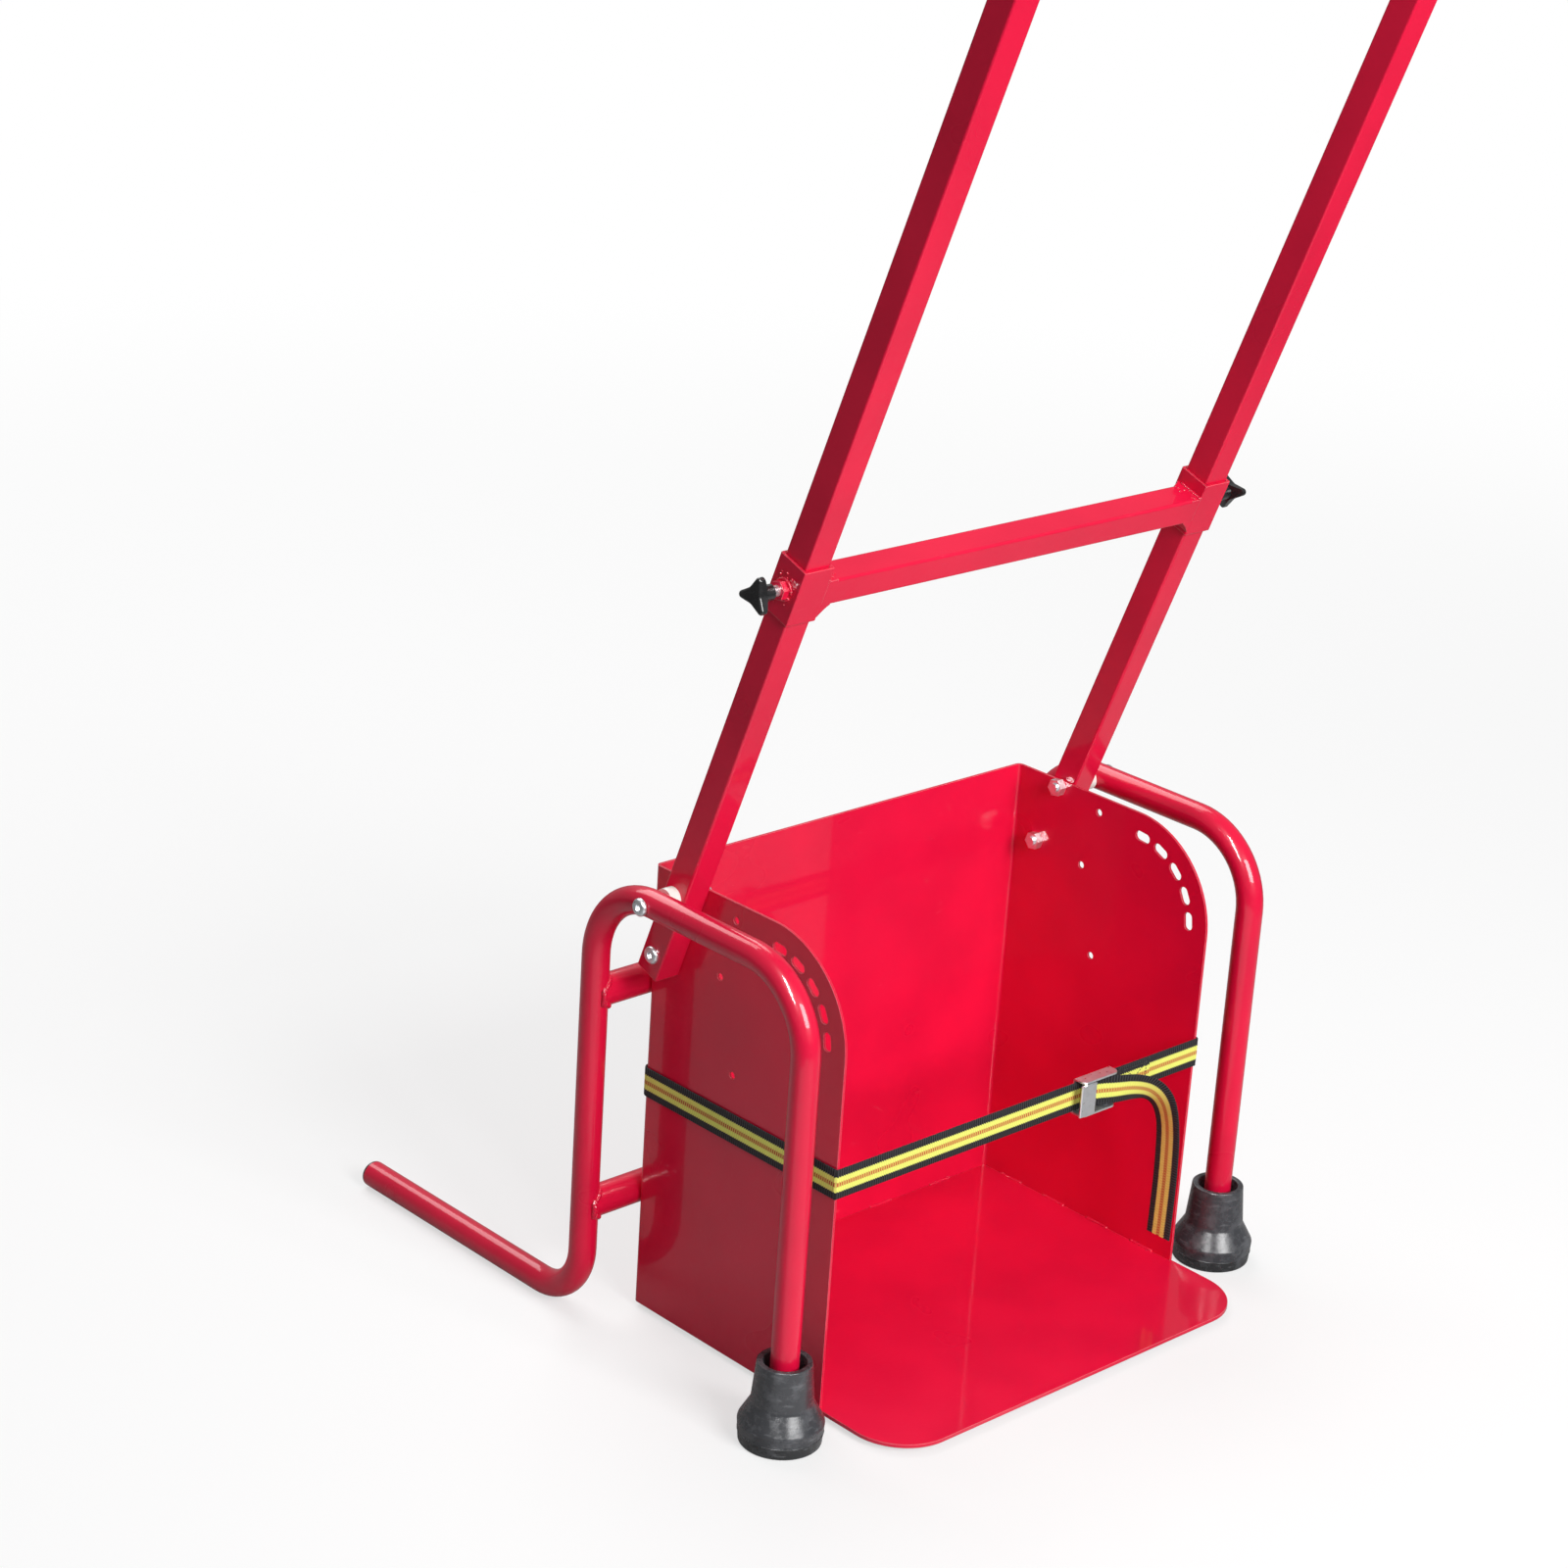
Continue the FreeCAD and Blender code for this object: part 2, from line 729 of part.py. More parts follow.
def bar_bolts():
    """The two lower bolts, heads on the bars' outer faces."""
    bolts = []
    for name, side in SIDES:
        length = bar_outer_x - wing_inner_x + d.nut_height + d.bolt_overhang
        bolt = button_bolt("bar_bolt_" + name, length)
        place(bolt, (bar_outer_x * side, 0, -d.lower_bolt_drop), outward(side), leaned=True)
        bolts.append(bolt)
    return group("bar_bolts", bolts)


def cradle_nuts():
    """Nuts of the pivot bolts and the lower bolts, on the inner faces of the wings."""
    nuts = []
    for name, side in SIDES:
        for place_name, drop in (("pivot", 0), ("lower", d.lower_bolt_drop)):
            nut = hex_nut(f"nut_{place_name}_{name}")
            place(nut, (wing_inner_x * side, 0, Size.of(0) - drop), outward(-side), leaned=True)
            nuts.append(nut)
    return group("cradle_nuts", nuts)


# Retainer

def retainer_sleeve(label, side):
    """Short square sleeve that slides on a bar, with a hole for the clamp stud."""
    body = new_body(label)
    section = sketch_on(body, "Section", "XY_Plane", -d.sleeve_length / 2)
    square(section, sleeve_half, d.sleeve_corner)
    square(section, sleeve_bore_half, d.sleeve_corner)
    pad(body, section, d.sleeve_length)
    hole = sketch_on(body, "StudHole", "YZ_Plane")
    circle(hole, 0, 0, bolt_radius + d.running_gap)
    cut_through(body, hole, both_ways=False, forward=side > 0)
    place(body, (bar_x * side, 0, d.retainer_rise), leaned=True)
    return keep(body, label)


def retainer_crossbar():
    """Square tube welded between the sleeves, flush with their front faces."""
    body = new_body("retainer_crossbar")
    section = sketch_on(body, "Section", "YZ_Plane")
    tube_outline(section, d.crossbar_size, d.crossbar_size / 2 - sleeve_half, 0)
    pad(body, section, (bar_x - sleeve_half) * 2, symmetric=True)
    place(body, (0, 0, d.retainer_rise), leaned=True)
    return keep(body, "retainer_crossbar")


def clamp_nut(label, side):
    body = hex_nut(label)
    place(body, (clamp_seat_x * side, 0, d.retainer_rise), outward(side), leaned=True)
    return keep(body, label)


def clamp_stud(label, side):
    """Screw that presses on the bar; its outer end sits in the knob."""
    body = new_body(label)
    profile = sketch_on(body, "Profile", "XZ_Plane")
    chain(profile, [(0, 0), (bolt_radius, 0), (bolt_radius, d.stud_length), (0, d.stud_length)])
    revolve(body, profile)
    tip_x = bar_outer_x + d.stud_tip_gap
    place(body, (tip_x * side, 0, d.retainer_rise), outward(side), leaned=True)
    return keep(body, label)


def star_knob(label, side):
    """Moulded knob: three lobes that thin out to their tips, and a hub towards the nut."""
    body = new_body(label)
    star = sketch_on(body, "Star", "XY_Plane", d.knob_hub_height)
    tips = ring_of_points(KNOB_LOBES, d.knob_lobe_reach)
    waists = ring_of_points(KNOB_LOBES, d.knob_waist, BETWEEN_LOBES_SHARE)
    corners = []
    for tip, waist in zip(tips, waists):
        corners.append((*tip, d.knob_lobe_round))
        corners.append((*waist, d.knob_waist_round))
    chain(star, corners)
    pad(body, star, d.knob_height)
    top = d.knob_hub_height.value + d.knob_height.value

    def is_crown(edge):
        return edge.BoundBox.ZMin > top - d.seat_gap.value

    round_edges(body, d.knob_edge, is_crown)
    hub_radius = d.knob_hub_diameter / 2
    back = sketch_on(body, "Back", "XZ_Plane")
    chain(back, [
        (hub_radius, d.knob_hub_height),
        (d.knob_lobe_reach, d.knob_hub_height),
        (d.knob_lobe_reach, d.knob_hub_height + d.knob_back_rise),
    ])
    groove(body, back)
    hub = sketch_on(body, "Hub", "XY_Plane")
    circle(hub, 0, 0, hub_radius)
    pad(body, hub, d.knob_hub_height + d.knob_crown)
    bore = sketch_on(body, "Bore", "XY_Plane", d.stud_length - (knob_x - bar_outer_x) + d.stud_tip_gap)
    circle(bore, 0, 0, bolt_radius + d.running_gap)
    cut_to_depth(body, bore, d.stud_length)
    place(body, (knob_x * side, 0, d.retainer_rise), outward(side), leaned=True)
    return keep(body, label)


# Strap

def strap_spot(across=0, out=0):
    """A place on the buckle, from the middle of the webbing at the buckle's offset."""
    return d.buckle_offset + across, strap_mid_y + out


def strap_loop():
    """Webbing from the buckle's bar round the cradle and back under the cam, as one taut band."""
    body = new_body("strap_loop")
    plan = sketch_on(body, "Plan", "XY_Plane", d.strap_height - d.strap_width / 2)
    fold, outer_fold = d.strap_fold, d.strap_fold + d.strap_thickness
    bend = d.sheet_bend + d.sheet + d.strap_gap
    outer_bend = bend + d.strap_thickness
    inner_y = strap_front_y + d.strap_thickness
    outer_x = strap_inner_x + d.strap_thickness
    outer_back_y = strap_back_y + d.strap_thickness
    start_x = d.buckle_offset + d.loop_bar_right
    end_x = d.buckle_offset - d.webbing_end_left
    corners = [
        (start_x, inner_y),
        (strap_inner_x, inner_y, fold),
        (strap_inner_x, strap_back_y, bend),
        (-strap_inner_x, strap_back_y, bend),
        (-strap_inner_x, inner_y, fold),
        (end_x, inner_y),
        (end_x, strap_front_y),
        (-outer_x, strap_front_y, outer_fold),
        (-outer_x, outer_back_y, outer_bend),
        (outer_x, outer_back_y, outer_bend),
        (outer_x, strap_front_y, outer_fold),
        (start_x, strap_front_y),
    ]
    chain(plan, corners)
    pad(body, plan, d.strap_width)
    eye = sketch_on(body, "Eye", "XY_Plane", d.strap_height - d.strap_width / 2)
    hole = d.loop_bar_diameter / 2 + d.seat_gap
    spot = strap_spot(d.loop_bar_right, loop_bar_out())
    circle(eye, *spot, hole + d.strap_thickness)
    circle(eye, *spot, hole)
    pad(body, eye, d.strap_width)
    return keep(body, "strap_loop")


def strap_tail():
    """Free end of the webbing: over the buckle, then twisting flat and hanging down."""
    half_wide, half_thick = d.strap_width.value / 2, d.strap_thickness.value / 2
    route = [Vector(*station[:3]) for station in TAIL_ROUTE]
    sections = []
    for i, station in enumerate(TAIL_ROUTE):
        ahead = route[min(i + 1, len(route) - 1)] - route[max(i - 1, 0)]
        ahead.normalize()
        if i == 0:
            ahead = Vector(1, 0, 0)
        twist = math.radians(station[3])
        wide = Vector(0, -math.sin(twist), math.cos(twist))
        wide = (wide - ahead * wide.dot(ahead)).normalize()
        thick = ahead.cross(wide)
        rim = []
        for across, through in ((-1, -1), (1, -1), (1, 1), (-1, 1)):
            rim.append(route[i] + wide * (across * half_wide) + thick * (through * half_thick))
        sections.append(Part.makePolygon(rim + rim[:1]))
    tail = doc.addObject("Part::Feature", "strap_tail")
    tail.Shape = Part.makeLoft(sections, True, True)
    length = sum(route[i].distanceToPoint(route[i + 1]) for i in range(len(route) - 1))
    section_area = d.strap_width.value * d.strap_thickness.value
    print(f"strap_tail: {length:.1f} mm long, volume over section times length "
          f"{tail.Shape.Volume / (section_area * length):.3f}")
    place(tail, (*strap_spot(), d.strap_height))
    return keep(tail, "strap_tail")


def buckle_frame():
    """Pressed channel: a floor behind the webbing and two ears that hold the pins."""
    body = new_body("buckle_frame")
    section = sketch_on(body, "Section", "YZ_Plane", -d.buckle_left)
    floor_in = d.strap_thickness / 2 + d.strap_gap
    floor_out = floor_in + d.buckle_sheet
    ear_in = d.strap_width / 2 + d.buckle_side_gap
    ear_out = ear_in + d.buckle_sheet
    corners = [
        (floor_out, -ear_out, d.buckle_sheet),
        (floor_out, ear_out, d.buckle_sheet),
        (-d.buckle_depth, ear_out),
        (-d.buckle_depth, ear_in),
        (floor_in, ear_in),
        (floor_in, -ear_in),
        (-d.buckle_depth, -ear_in),
        (-d.buckle_depth, -ear_out),
    ]
    chain(section, corners)
    pad(body, section, d.buckle_length)
    edge_y = -d.buckle_depth.value

    def is_ear_corner(edge):
        upright = edge.BoundBox.XLength + edge.BoundBox.YLength < d.seat_gap.value
        return upright and abs(edge.CenterOfMass.y - edge_y) < d.seat_gap.value

    round_edges(body, d.buckle_round, is_ear_corner)
    holes = sketch_on(body, "PinHoles", "XY_Plane")
    circle(holes, -d.cam_pin_left, -d.cam_pin_out, d.cam_pin_diameter / 2 + d.running_gap)
    circle(holes, d.loop_bar_right, loop_bar_out(), d.loop_bar_diameter / 2 + d.running_gap)
    cut_through(body, holes)
    place(body, (*strap_spot(), d.strap_height))
    return keep(body, "buckle_frame")


def loop_bar_out():
    """How far outside the webbing's middle the bar for its sewn eye lies."""
    return -(d.loop_bar_diameter / 2 + d.seat_gap + d.strap_thickness / 2)


def buckle_rod(label, diameter, across, out):
    """A straight pin through both ears of the buckle."""
    reach = d.strap_width / 2 + d.buckle_side_gap + d.buckle_sheet
    spot = (*strap_spot(across, out), d.strap_height - reach)
    return keep(solid_rod(label, diameter / 2, reach * 2, spot), label)


def cam_lever():
    """Cam that pinches the webbing, with the thumb plate that frees it."""
    body = new_body("cam_lever")
    length = d.strap_width + (d.buckle_side_gap - d.cam_end_gap) * 2
    cam = sketch_on(body, "Cam", "XY_Plane")
    circle(cam, 0, d.cam_throw, d.cam_radius)
    pad(body, cam, length, symmetric=True)
    thumb = sketch_on(body, "Thumb", "XY_Plane")
    left, right = d.cam_pin_left - d.thumb_left, d.cam_pin_left - d.thumb_right
    out = d.cam_pin_out - d.thumb_out
    tip = d.thumb_thickness * SLOT_END_SHARE
    chain(thumb, [
        (left, out, tip),
        (right, out, tip),
        (right, out + d.thumb_thickness, tip),
        (left, out + d.thumb_thickness, tip),
    ])
    pad(body, thumb, length, symmetric=True)
    bore = sketch_on(body, "Bore", "XY_Plane")
    circle(bore, 0, 0, d.cam_pin_diameter / 2 + d.running_gap)
    cut_through(body, bore)
    place(body, (*strap_spot(-d.cam_pin_left, -d.cam_pin_out), d.strap_height))
    return keep(body, "cam_lever")


for name, side in SIDES:
    side_frame("side_frame_" + name, side)
    rubber_foot("rubber_foot_" + name, side)
    skid_plug("skid_plug_" + name, side)
cross_tube("cross_tube_upper", d.cross_upper_height)
cross_tube("cross_tube_lower", d.cross_lower_height)
cradle_shell()
tongue_plate()
handle_grip()
bar_bolts()
cradle_nuts()
retainer_crossbar()
for name, side in SIDES:
    handle_bar("handle_bar_" + name, side)
    bar_cap("bar_cap_" + name, side)
    pivot_bolt("pivot_bolt_" + name, side)
    pivot_spacer("pivot_spacer_" + name, side)
    retainer_sleeve("retainer_sleeve_" + name, side)
    clamp_nut("clamp_nut_" + name, side)
    clamp_stud("clamp_stud_" + name, side)
    star_knob("star_knob_" + name, side)
strap_loop()
strap_tail()
buckle_frame()
buckle_rod("cam_pin", d.cam_pin_diameter, -d.cam_pin_left, -d.cam_pin_out)
buckle_rod("loop_bar", d.loop_bar_diameter, d.loop_bar_right, loop_bar_out())
cam_lever()
doc.recompute()

for item in doc.Objects:
    if "Invalid" in item.State or "Error" in item.State:
        raise RuntimeError(f"{item.Label} failed: {item.State}")
for node in nodes:
    if node.Shape.isNull() or not node.Shape.isValid():
        raise RuntimeError(f"{node.Label} has no valid shape")

os.makedirs("parts", exist_ok=True)
for node in nodes:
    node.Shape.exportStep(f"parts/{node.Label}.step")
    solids = len(node.Shape.Solids)
    print(f"{node.Label}: {solids} solids, {node.Shape.Volume:.0f} cubic mm")
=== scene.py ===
import json
import math

import bmesh
import bpy
from bpy.props import FloatProperty, FloatVectorProperty, IntProperty, PointerProperty
from mathutils import Matrix, Vector


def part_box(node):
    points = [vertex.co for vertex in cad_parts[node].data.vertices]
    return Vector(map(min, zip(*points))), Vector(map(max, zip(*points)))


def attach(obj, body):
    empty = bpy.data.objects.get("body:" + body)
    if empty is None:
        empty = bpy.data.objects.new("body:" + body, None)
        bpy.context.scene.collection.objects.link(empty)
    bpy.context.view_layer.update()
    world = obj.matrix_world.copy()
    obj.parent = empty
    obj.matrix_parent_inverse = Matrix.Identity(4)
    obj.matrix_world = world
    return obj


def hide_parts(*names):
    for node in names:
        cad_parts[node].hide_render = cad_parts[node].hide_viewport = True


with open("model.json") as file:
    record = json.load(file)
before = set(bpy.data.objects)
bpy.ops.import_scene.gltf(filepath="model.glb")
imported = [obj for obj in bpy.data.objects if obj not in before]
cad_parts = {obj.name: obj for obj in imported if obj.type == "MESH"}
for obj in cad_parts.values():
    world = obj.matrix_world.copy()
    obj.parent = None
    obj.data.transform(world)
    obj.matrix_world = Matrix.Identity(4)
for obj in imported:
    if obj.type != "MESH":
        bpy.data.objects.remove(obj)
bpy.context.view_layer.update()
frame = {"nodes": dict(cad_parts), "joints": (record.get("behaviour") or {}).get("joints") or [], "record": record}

bl_info = {
    "name": "Drum tipper finish",
    "version": (1, 0, 0),
    "blender": (4, 5, 0),
    "location": "3D View > Sidebar > Tipper",
    "description": "Paint, rubber, zinc, webbing, welds and studio for a tilting drum cradle",
    "category": "Object",
}

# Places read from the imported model, in metres, with +Z up and the open front towards -Y
JOINTS = {joint["name"]: joint for joint in frame["joints"]}
PIVOT = Vector(JOINTS["cradle_tilt"]["pos_m"])
ALONG_BAR = Vector(JOINTS["retainer_slide"]["axis"]).normalized()
ACROSS_BAR = Vector((0, ALONG_BAR.z, -ALONG_BAR.y))
SHELL_LOW, SHELL_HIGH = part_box("cradle_shell")
LOOP_LOW, LOOP_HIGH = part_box("strap_loop")
STRAP_WIDTH = LOOP_HIGH.z - LOOP_LOW.z

# Up, the two sides with their signs along X, and the corners of a square in order
UP = Vector((0, 0, 1))
SIDES = (("left", -1), ("right", 1))
CORNERS = ((-1, -1), (1, -1), (1, 1), (-1, 1))

# Route of the free strap end from the cam outwards, in metres from the buckle's own place
TAIL_ROUTE = (
    (-0.0010, 0.0, 0.0),
    (0.0110, -0.0034, 0.0),
    (0.0220, -0.0092, 0.0),
    (0.0420, -0.0130, -0.0015),
    (0.0620, -0.0145, -0.0090),
    (0.0770, -0.0155, -0.0240),
    (0.0850, -0.0160, -0.0460),
    (0.0875, -0.0160, -0.0760),
    (0.0880, -0.0160, -0.1100),
    (0.0870, -0.0160, -0.1460),
)

# Sizes of the CAD pieces that their boxes don't give, in metres
SHEET = 0.002
SHEET_BEND = 0.005
BUCKLE_TO_BAR = 0.020
STUD_RADIUS = 0.004
STUD_PITCH = 0.00125
FOOT_PARTING_RADIUS = 0.0322
FOOT_PARTING_HEIGHT = 0.0095


def middle(node):
    """The middle of a CAD node's box."""
    low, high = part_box(node)
    return (low + high) / 2


# Settings

def length_setting(name, description, default, least=0.0):
    """A length in metres that a user may change."""
    return FloatProperty(name=name, description=description, subtype="DISTANCE", unit="LENGTH",
                         min=least, default=default)


def colour_setting(name, description, default):
    """A colour that a user may change."""
    return FloatVectorProperty(name=name, description=description, subtype="COLOR",
                               size=3, min=0, max=1, default=default)


def angle_setting(name, description, degrees):
    """An angle that a user may change."""
    return FloatProperty(name=name, description=description, subtype="ANGLE", unit="ROTATION",
                         default=math.radians(degrees))


def power_setting(name, description, default):
    """A lamp's power in watts that a user may change."""
    return FloatProperty(name=name, description=description, unit="POWER", min=0, default=default)


class PaintSettings(bpy.types.PropertyGroup):
    colour: colour_setting("Paint", "Body colour of the enamel", (0.80, 0.005, 0.05))
    # Edge is the colour of a painted highlight along the enamel's sharp edges, which the scuffs share; edge width
    # is how far that painted highlight and the rounded shading reach.
    edge: colour_setting("Edge", "Colour where the enamel is thin on an edge", (0.94, 0.28, 0.32))
    edge_width: length_setting("Edge width", "How far an edge shows on each side", 0.0010)
    peel: length_setting("Orange peel", "Size of the ripples in the enamel", 0.0035, 0.0001)
    weld_radius: length_setting("Weld", "Radius of the beads on the tubes", 0.0023)
    small_weld_radius: length_setting(
        "Small weld", "Radius of the beads on the sleeves, nuts and sheet", 0.0015)
    fillet: length_setting(
        "Fillet", "Reach of the dressed welds under the crossbar's ends", 0.009, 0.001)
    ripple: length_setting("Weld ripple", "Spacing of the ripples along a bead", 0.0022, 0.0002)
    seed: IntProperty(
        name="Seed", description="Seed of the welds and the spatter", min=0, default=7)


class StrapSettings(bpy.types.PropertyGroup):
    thickness: length_setting("Thickness", "Thickness of the webbing over its ribs", 0.0016)
    rib: length_setting("Rib", "Spacing of the ribs across the webbing", 0.0023, 0.0005)
    rib_depth: length_setting("Rib depth", "Depth of the ribs in the dark borders", 0.0003)
    border: length_setting("Border", "Width of each dark border", 0.0064)
    middle_line: length_setting("Middle line", "Width of the dashed line in the middle", 0.0038)
    lap: length_setting("Lap", "Length of the sewn end beside the buckle's bar", 0.034)
    stitch: length_setting("Stitch", "Length of one stitch with its gap", 0.0027, 0.0005)
    dark: colour_setting("Border colour", "Colour of the dark borders", (0.006, 0.006, 0.007))
    pale: colour_setting("Band colour", "Colour of the pale bands", (0.89, 0.92, 0.19))
    line: colour_setting("Line colour", "Colour of the dashed middle line", (0.50, 0.018, 0.016))


class StageSettings(bpy.types.PropertyGroup):
    camera_place: FloatVectorProperty(
        name="Camera", description="Place of the camera", subtype="XYZ", unit="LENGTH",
        size=3, default=(-1.8883, -1.8449, 1.4051))
    azimuth: angle_setting("Azimuth", "Turn of the view about the vertical", -43.85)
    elevation: angle_setting("Elevation", "Height of the view above the horizon", 20.664)
    roll: angle_setting("Roll", "Turn of the picture about the line of sight", 3.714)
    focal_share: FloatProperty(
        name="Focal share", description="Focal length as a share of the picture's width",
        min=0.1, default=2.3037)
    floor: colour_setting("Floor", "Colour of the floor as it is seen", (0.88, 0.88, 0.88))
    floor_bounce: colour_setting(
        "Floor bounce", "Colour of the floor as it lights the object", (0.30, 0.30, 0.30))
    key_power: power_setting("Key", "Power of the key light", 125)
    top_power: power_setting("Top", "Power of the light above and behind", 60)
    gloss_power: power_setting("Gloss", "Power of the strip that only the gloss shows", 95)
    fill: FloatProperty(
        name="Fill", description="Strength of the light from all round", min=0, default=0.22)


class TipperSettings(bpy.types.PropertyGroup):
    paint: PointerProperty(type=PaintSettings)
    strap: PointerProperty(type=StrapSettings)
    stage: PointerProperty(type=StageSettings)


# Node trees

class Wire:
    """A socket whose arithmetic adds Math nodes to its tree."""

    def __init__(self, graph, socket):
        self.graph = graph
        self.socket = socket

    def math(self, operation, other=None, swapped=False):
        if other is None:
            return self.graph.node("ShaderNodeMath", {"operation": operation}, {0: self})
        first, second = (other, self) if swapped else (self, other)
        return self.graph.node("ShaderNodeMath", {"operation": operation}, {0: first, 1: second})

    def __add__(self, other):
        return self.math("ADD", other)

    def __sub__(self, other):
        return self.math("SUBTRACT", other)

    def __rsub__(self, other):
        return self.math("SUBTRACT", other, True)

    def __mul__(self, other):
        return self.math("MULTIPLY", other)

    def __truediv__(self, other):
        return self.math("DIVIDE", other)

    def top(self, other):
        return self.math("MAXIMUM", other)

    def size(self):
        return self.math("ABSOLUTE")

    def wave(self):
        """The sine of this value taken as turns, from 0 to 1."""
        return (self * (2 * math.pi)).math("SINE") * 0.5 + 0.5

    def step(self, low, high):
        """0 below low, 1 above high and a smooth step between them."""
        sockets = {"Value": self, "From Min": low, "From Max": high}
        return self.graph.node("ShaderNodeMapRange", {"interpolation_type": "SMOOTHSTEP"}, sockets)

    def within(self, rise_start, rise_end, fall_start, fall_end):
        """1 between two soft edges and 0 outside them."""
        return self.step(rise_start, rise_end) * (1 - self.step(fall_start, fall_end))


class Graph:
    """Adds nodes to the tree of a material, a world or a Geometry Nodes group."""

    def __init__(self, tree):
        self.tree = tree

    def node(self, kind, settings=None, sockets=None, output=0):
        """A node of this type: its settings, then its socket values or links; gives one output."""
        made = self.tree.nodes.new(kind)
        for name, value in (settings or {}).items():
            setattr(made, name, value)
        for name, value in (sockets or {}).items():
            if isinstance(value, Wire):
                self.tree.links.new(value.socket, made.inputs[name])
            else:
                made.inputs[name].default_value = value
        return Wire(self, made.outputs[output]) if made.outputs else None

    def place(self):
        return self.node("ShaderNodeTexCoord", output="Object")

    def axis(self, vector, name):
        return self.node("ShaderNodeSeparateXYZ", {}, {0: vector}, name)

    def ray(self, name):
        return self.node("ShaderNodeLightPath", output=name)

    def noise(self, vector, scale, detail=2.0, roughness=0.5):
        sockets = {"Vector": vector, "Scale": scale, "Detail": detail, "Roughness": roughness}
        return self.node("ShaderNodeTexNoise", {}, sockets)

    def stretch(self, vector, scale):
        return self.node("ShaderNodeMapping", {}, {"Vector": vector, "Scale": scale})

    def mix(self, factor, first, second):
        """A colour between two colours."""
        colours = {0: factor, 6: opaque(first), 7: opaque(second)}
        return self.node("ShaderNodeMix", {"data_type": "RGBA"}, colours, output=2)

    def bump(self, height, distance, strength=1.0, normal=None):
        sockets = {"Height": height, "Distance": distance, "Strength": strength}
        if normal is not None:
            sockets["Normal"] = normal
        return self.node("ShaderNodeBump", {}, sockets)

    def surface(self, **sockets):
        """The material's shader, with socket names written with underscores."""
        named = {name.replace("_", " "): opaque(value) for name, value in sockets.items()}
        shader = self.node("ShaderNodeBsdfPrincipled", {}, named)
        self.node("ShaderNodeOutputMaterial", {}, {"Surface": shader})


def opaque(colour):
    """A colour with full alpha; links and plain numbers stay as they are."""
    if isinstance(colour, (Wire, int, float)):
        return colour
    return (*colour, 1.0)


def material_graph(name):
    """A new material with an empty tree, and the tree's graph."""
    material = bpy.data.materials.new(name + "_finish")
    material.use_nodes = True
    material.node_tree.nodes.clear()
    return material, Graph(material.node_tree)


# Finishes: noise scales are counts per metre, bump distances are metres

def red_paint(graph, settings):
    """Glossy enamel with a faint orange peel and fine scuffs, and a painted highlight along its edges."""
    paint = settings.paint
    place = graph.place()
    cloud = graph.noise(place, 14.0, 1.5)
    peel = graph.noise(place, 1 / paint.peel, 1.0)
    scuff = graph.noise(graph.stretch(place, (45.0, 900.0, 160.0)), 1.0, 2.0).step(0.66, 0.78)
    scuff = scuff * graph.noise(place, 22.0, 2.0).step(0.52, 0.68)
    rounded = graph.node("ShaderNodeBevel", {"samples": 6}, {"Radius": paint.edge_width})
    flat = graph.node("ShaderNodeNewGeometry", output="Normal")
    sockets = {0: rounded, 1: flat}
    facing = graph.node("ShaderNodeVectorMath", {"operation": "DOT_PRODUCT"}, sockets, "Value")
    # Painted highlight: a pale pink line along sharp edges, where the rounded normal turns away from the flat one.
    edge = (1 - facing).step(0.02, 0.22)
    deep = tuple(channel * 0.9 for channel in paint.colour)
    colour = graph.mix(cloud.step(0.3, 0.7), deep, tuple(paint.colour))
    colour = graph.mix(edge * 0.8, colour, tuple(paint.edge))
    # The scuffs take a tenth of the same pale pink as the painted edge highlight.
    colour = graph.mix(scuff * 0.1, colour, tuple(paint.edge))
    graph.surface(
        Base_Color=colour,
        Roughness=cloud.step(0.25, 0.8) * 0.08 + scuff * 0.2 + 0.27,
        Normal=graph.bump(peel, 0.00018, 0.3, rounded),
        Specular_IOR_Level=0.2,
        Coat_Weight=0.64 - scuff * 0.3,
        Coat_Roughness=0.04,
    )


def rubber(graph, settings):
    """Dusty moulded rubber, darker below its parting line."""
    place = graph.place()
    height = graph.axis(place, "Z")
    dust = graph.noise(place, 75.0, 6.0, 0.65).step(0.42, 0.78)
    grain = graph.noise(place, 1400.0, 2.0)
    scuff = graph.noise(graph.stretch(place, (90.0, 90.0, 420.0)), 1.0, 3.0).step(0.56, 0.74)
    upper = height.step(FOOT_PARTING_HEIGHT - 0.0005, FOOT_PARTING_HEIGHT + 0.001)
    sole, wall = (0.022, 0.023, 0.025), (0.042, 0.044, 0.050)
    dusty, scuffed = (0.16, 0.165, 0.18), (0.22, 0.225, 0.24)
    colour = graph.mix(upper, sole, wall)
    colour = graph.mix(dust * 0.55, colour, dusty)
    colour = graph.mix(scuff * 0.4, colour, scuffed)
    graph.surface(
        Base_Color=colour,
        Roughness=dust * 0.25 + 0.24,
        Normal=graph.bump(grain + dust * 1.5, 0.00012, 0.6),
        Specular_IOR_Level=0.6,
    )


def black_plastic(graph, settings):
    """Glossy moulded plastic with a fine mould grain."""
    place = graph.place()
    grain = graph.noise(place, 900.0, 2.0)
    cloud = graph.noise(place, 60.0, 3.0)
    black, worn = (0.010, 0.010, 0.011), (0.022, 0.022, 0.024)
    colour = graph.mix(cloud.step(0.4, 0.75), black, worn)
    graph.surface(
        Base_Color=colour,
        Roughness=cloud * 0.14 + 0.2,
        Normal=graph.bump(grain, 0.00005, 0.4),
        Coat_Weight=0.6,
        Coat_Roughness=0.08,
    )


